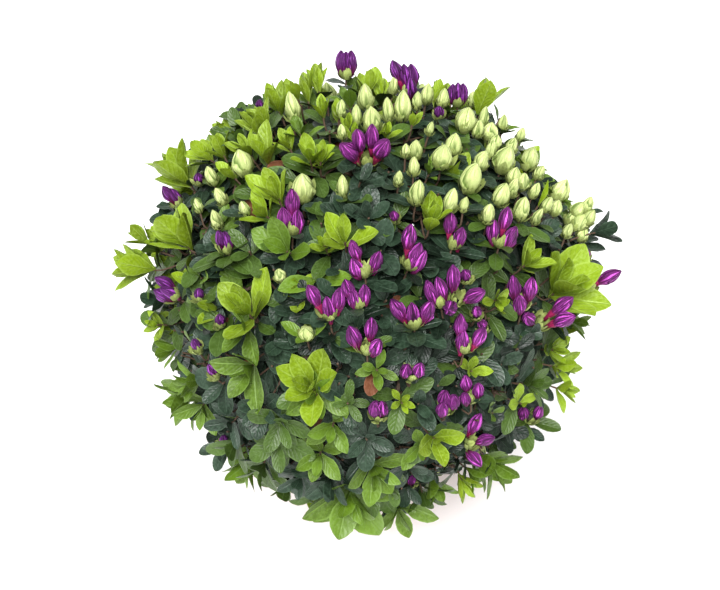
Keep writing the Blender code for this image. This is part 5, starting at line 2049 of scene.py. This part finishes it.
def add_camera(scene, stage):
    """The camera looks down on the crown, so that its middle comes where the view has it."""
    data = bpy.data.cameras.new("view")
    data.lens = stage.lens
    data.sensor_width = SENSOR_WIDTH
    data.clip_start = 0.01
    camera = placed("view", data)
    off_x = (CROWN_MIDDLE_PIXEL[0] - FRAME_WIDTH / 2) / SIGHT_PIXELS * SIGHT_DISTANCE
    off_y = (FRAME_HEIGHT / 2 - CROWN_MIDDLE_PIXEL[1]) / SIGHT_PIXELS * SIGHT_DISTANCE
    aim = CROWN_CENTRE - RIGHT * off_x - VIEW_UP * off_y
    camera.location = aim + TOWARD_VIEW * SIGHT_DISTANCE
    camera.rotation_euler = TOWARD_VIEW.to_track_quat("Z", "Y").to_euler()
    scene.camera = camera


OPERATORS = (BuildPot, BuildSoil, GrowLimbs, GrowTwigs, GrowLeaves, GrowBuds, SetStage)
SETTINGS = {
    "rhododendron_crown": CrownSettings,
    "rhododendron_leaves": LeafSettings,
    "rhododendron_buds": BudSettings,
    "rhododendron_wood": WoodSettings,
    "rhododendron_pot": PotSettings,
    "rhododendron_stage": StageSettings,
}


class PlantPanel(bpy.types.Panel):
    """Lists the steps and the settings of the potted rhododendron"""

    bl_idname = "VIEW3D_PT_rhododendron"
    bl_label = "Potted rhododendron"
    bl_space_type = "VIEW_3D"
    bl_region_type = "UI"
    bl_category = "Rhododendron"

    def draw(self, context):
        layout = self.layout
        for operator in OPERATORS:
            layout.operator(operator.bl_idname)
        for name, settings in SETTINGS.items():
            box = layout.box()
            for prop in settings.__annotations__:
                box.prop(getattr(context.scene, name), prop)


def register():
    """Registers the settings, the steps and the panel."""
    for name, settings in SETTINGS.items():
        bpy.utils.register_class(settings)
        setattr(bpy.types.Scene, name, bpy.props.PointerProperty(type=settings))
    for item in (*OPERATORS, PlantPanel):
        bpy.utils.register_class(item)


def unregister():
    """Takes back what was registered."""
    for item in (PlantPanel, *OPERATORS[::-1]):
        bpy.utils.unregister_class(item)
    for name, settings in SETTINGS.items():
        delattr(bpy.types.Scene, name)
        bpy.utils.unregister_class(settings)


def clear_startup():
    """Removes the objects that a new scene starts with."""
    kept = {*frame["nodes"].values(), *frame["bodies"].values()}
    for obj in list(bpy.data.objects):
        if obj not in kept:
            bpy.data.objects.remove(obj, do_unlink=True)


def main():
    """Builds the plant on the frame."""
    clear_startup()
    register()
    bpy.ops.rhododendron.build_pot()
    bpy.ops.rhododendron.build_soil()
    bpy.ops.rhododendron.grow_limbs()
    bpy.ops.rhododendron.grow_twigs()
    bpy.ops.rhododendron.grow_leaves()
    bpy.ops.rhododendron.grow_buds()
    bpy.ops.rhododendron.set_stage()


if __name__ == "__main__":
    main()
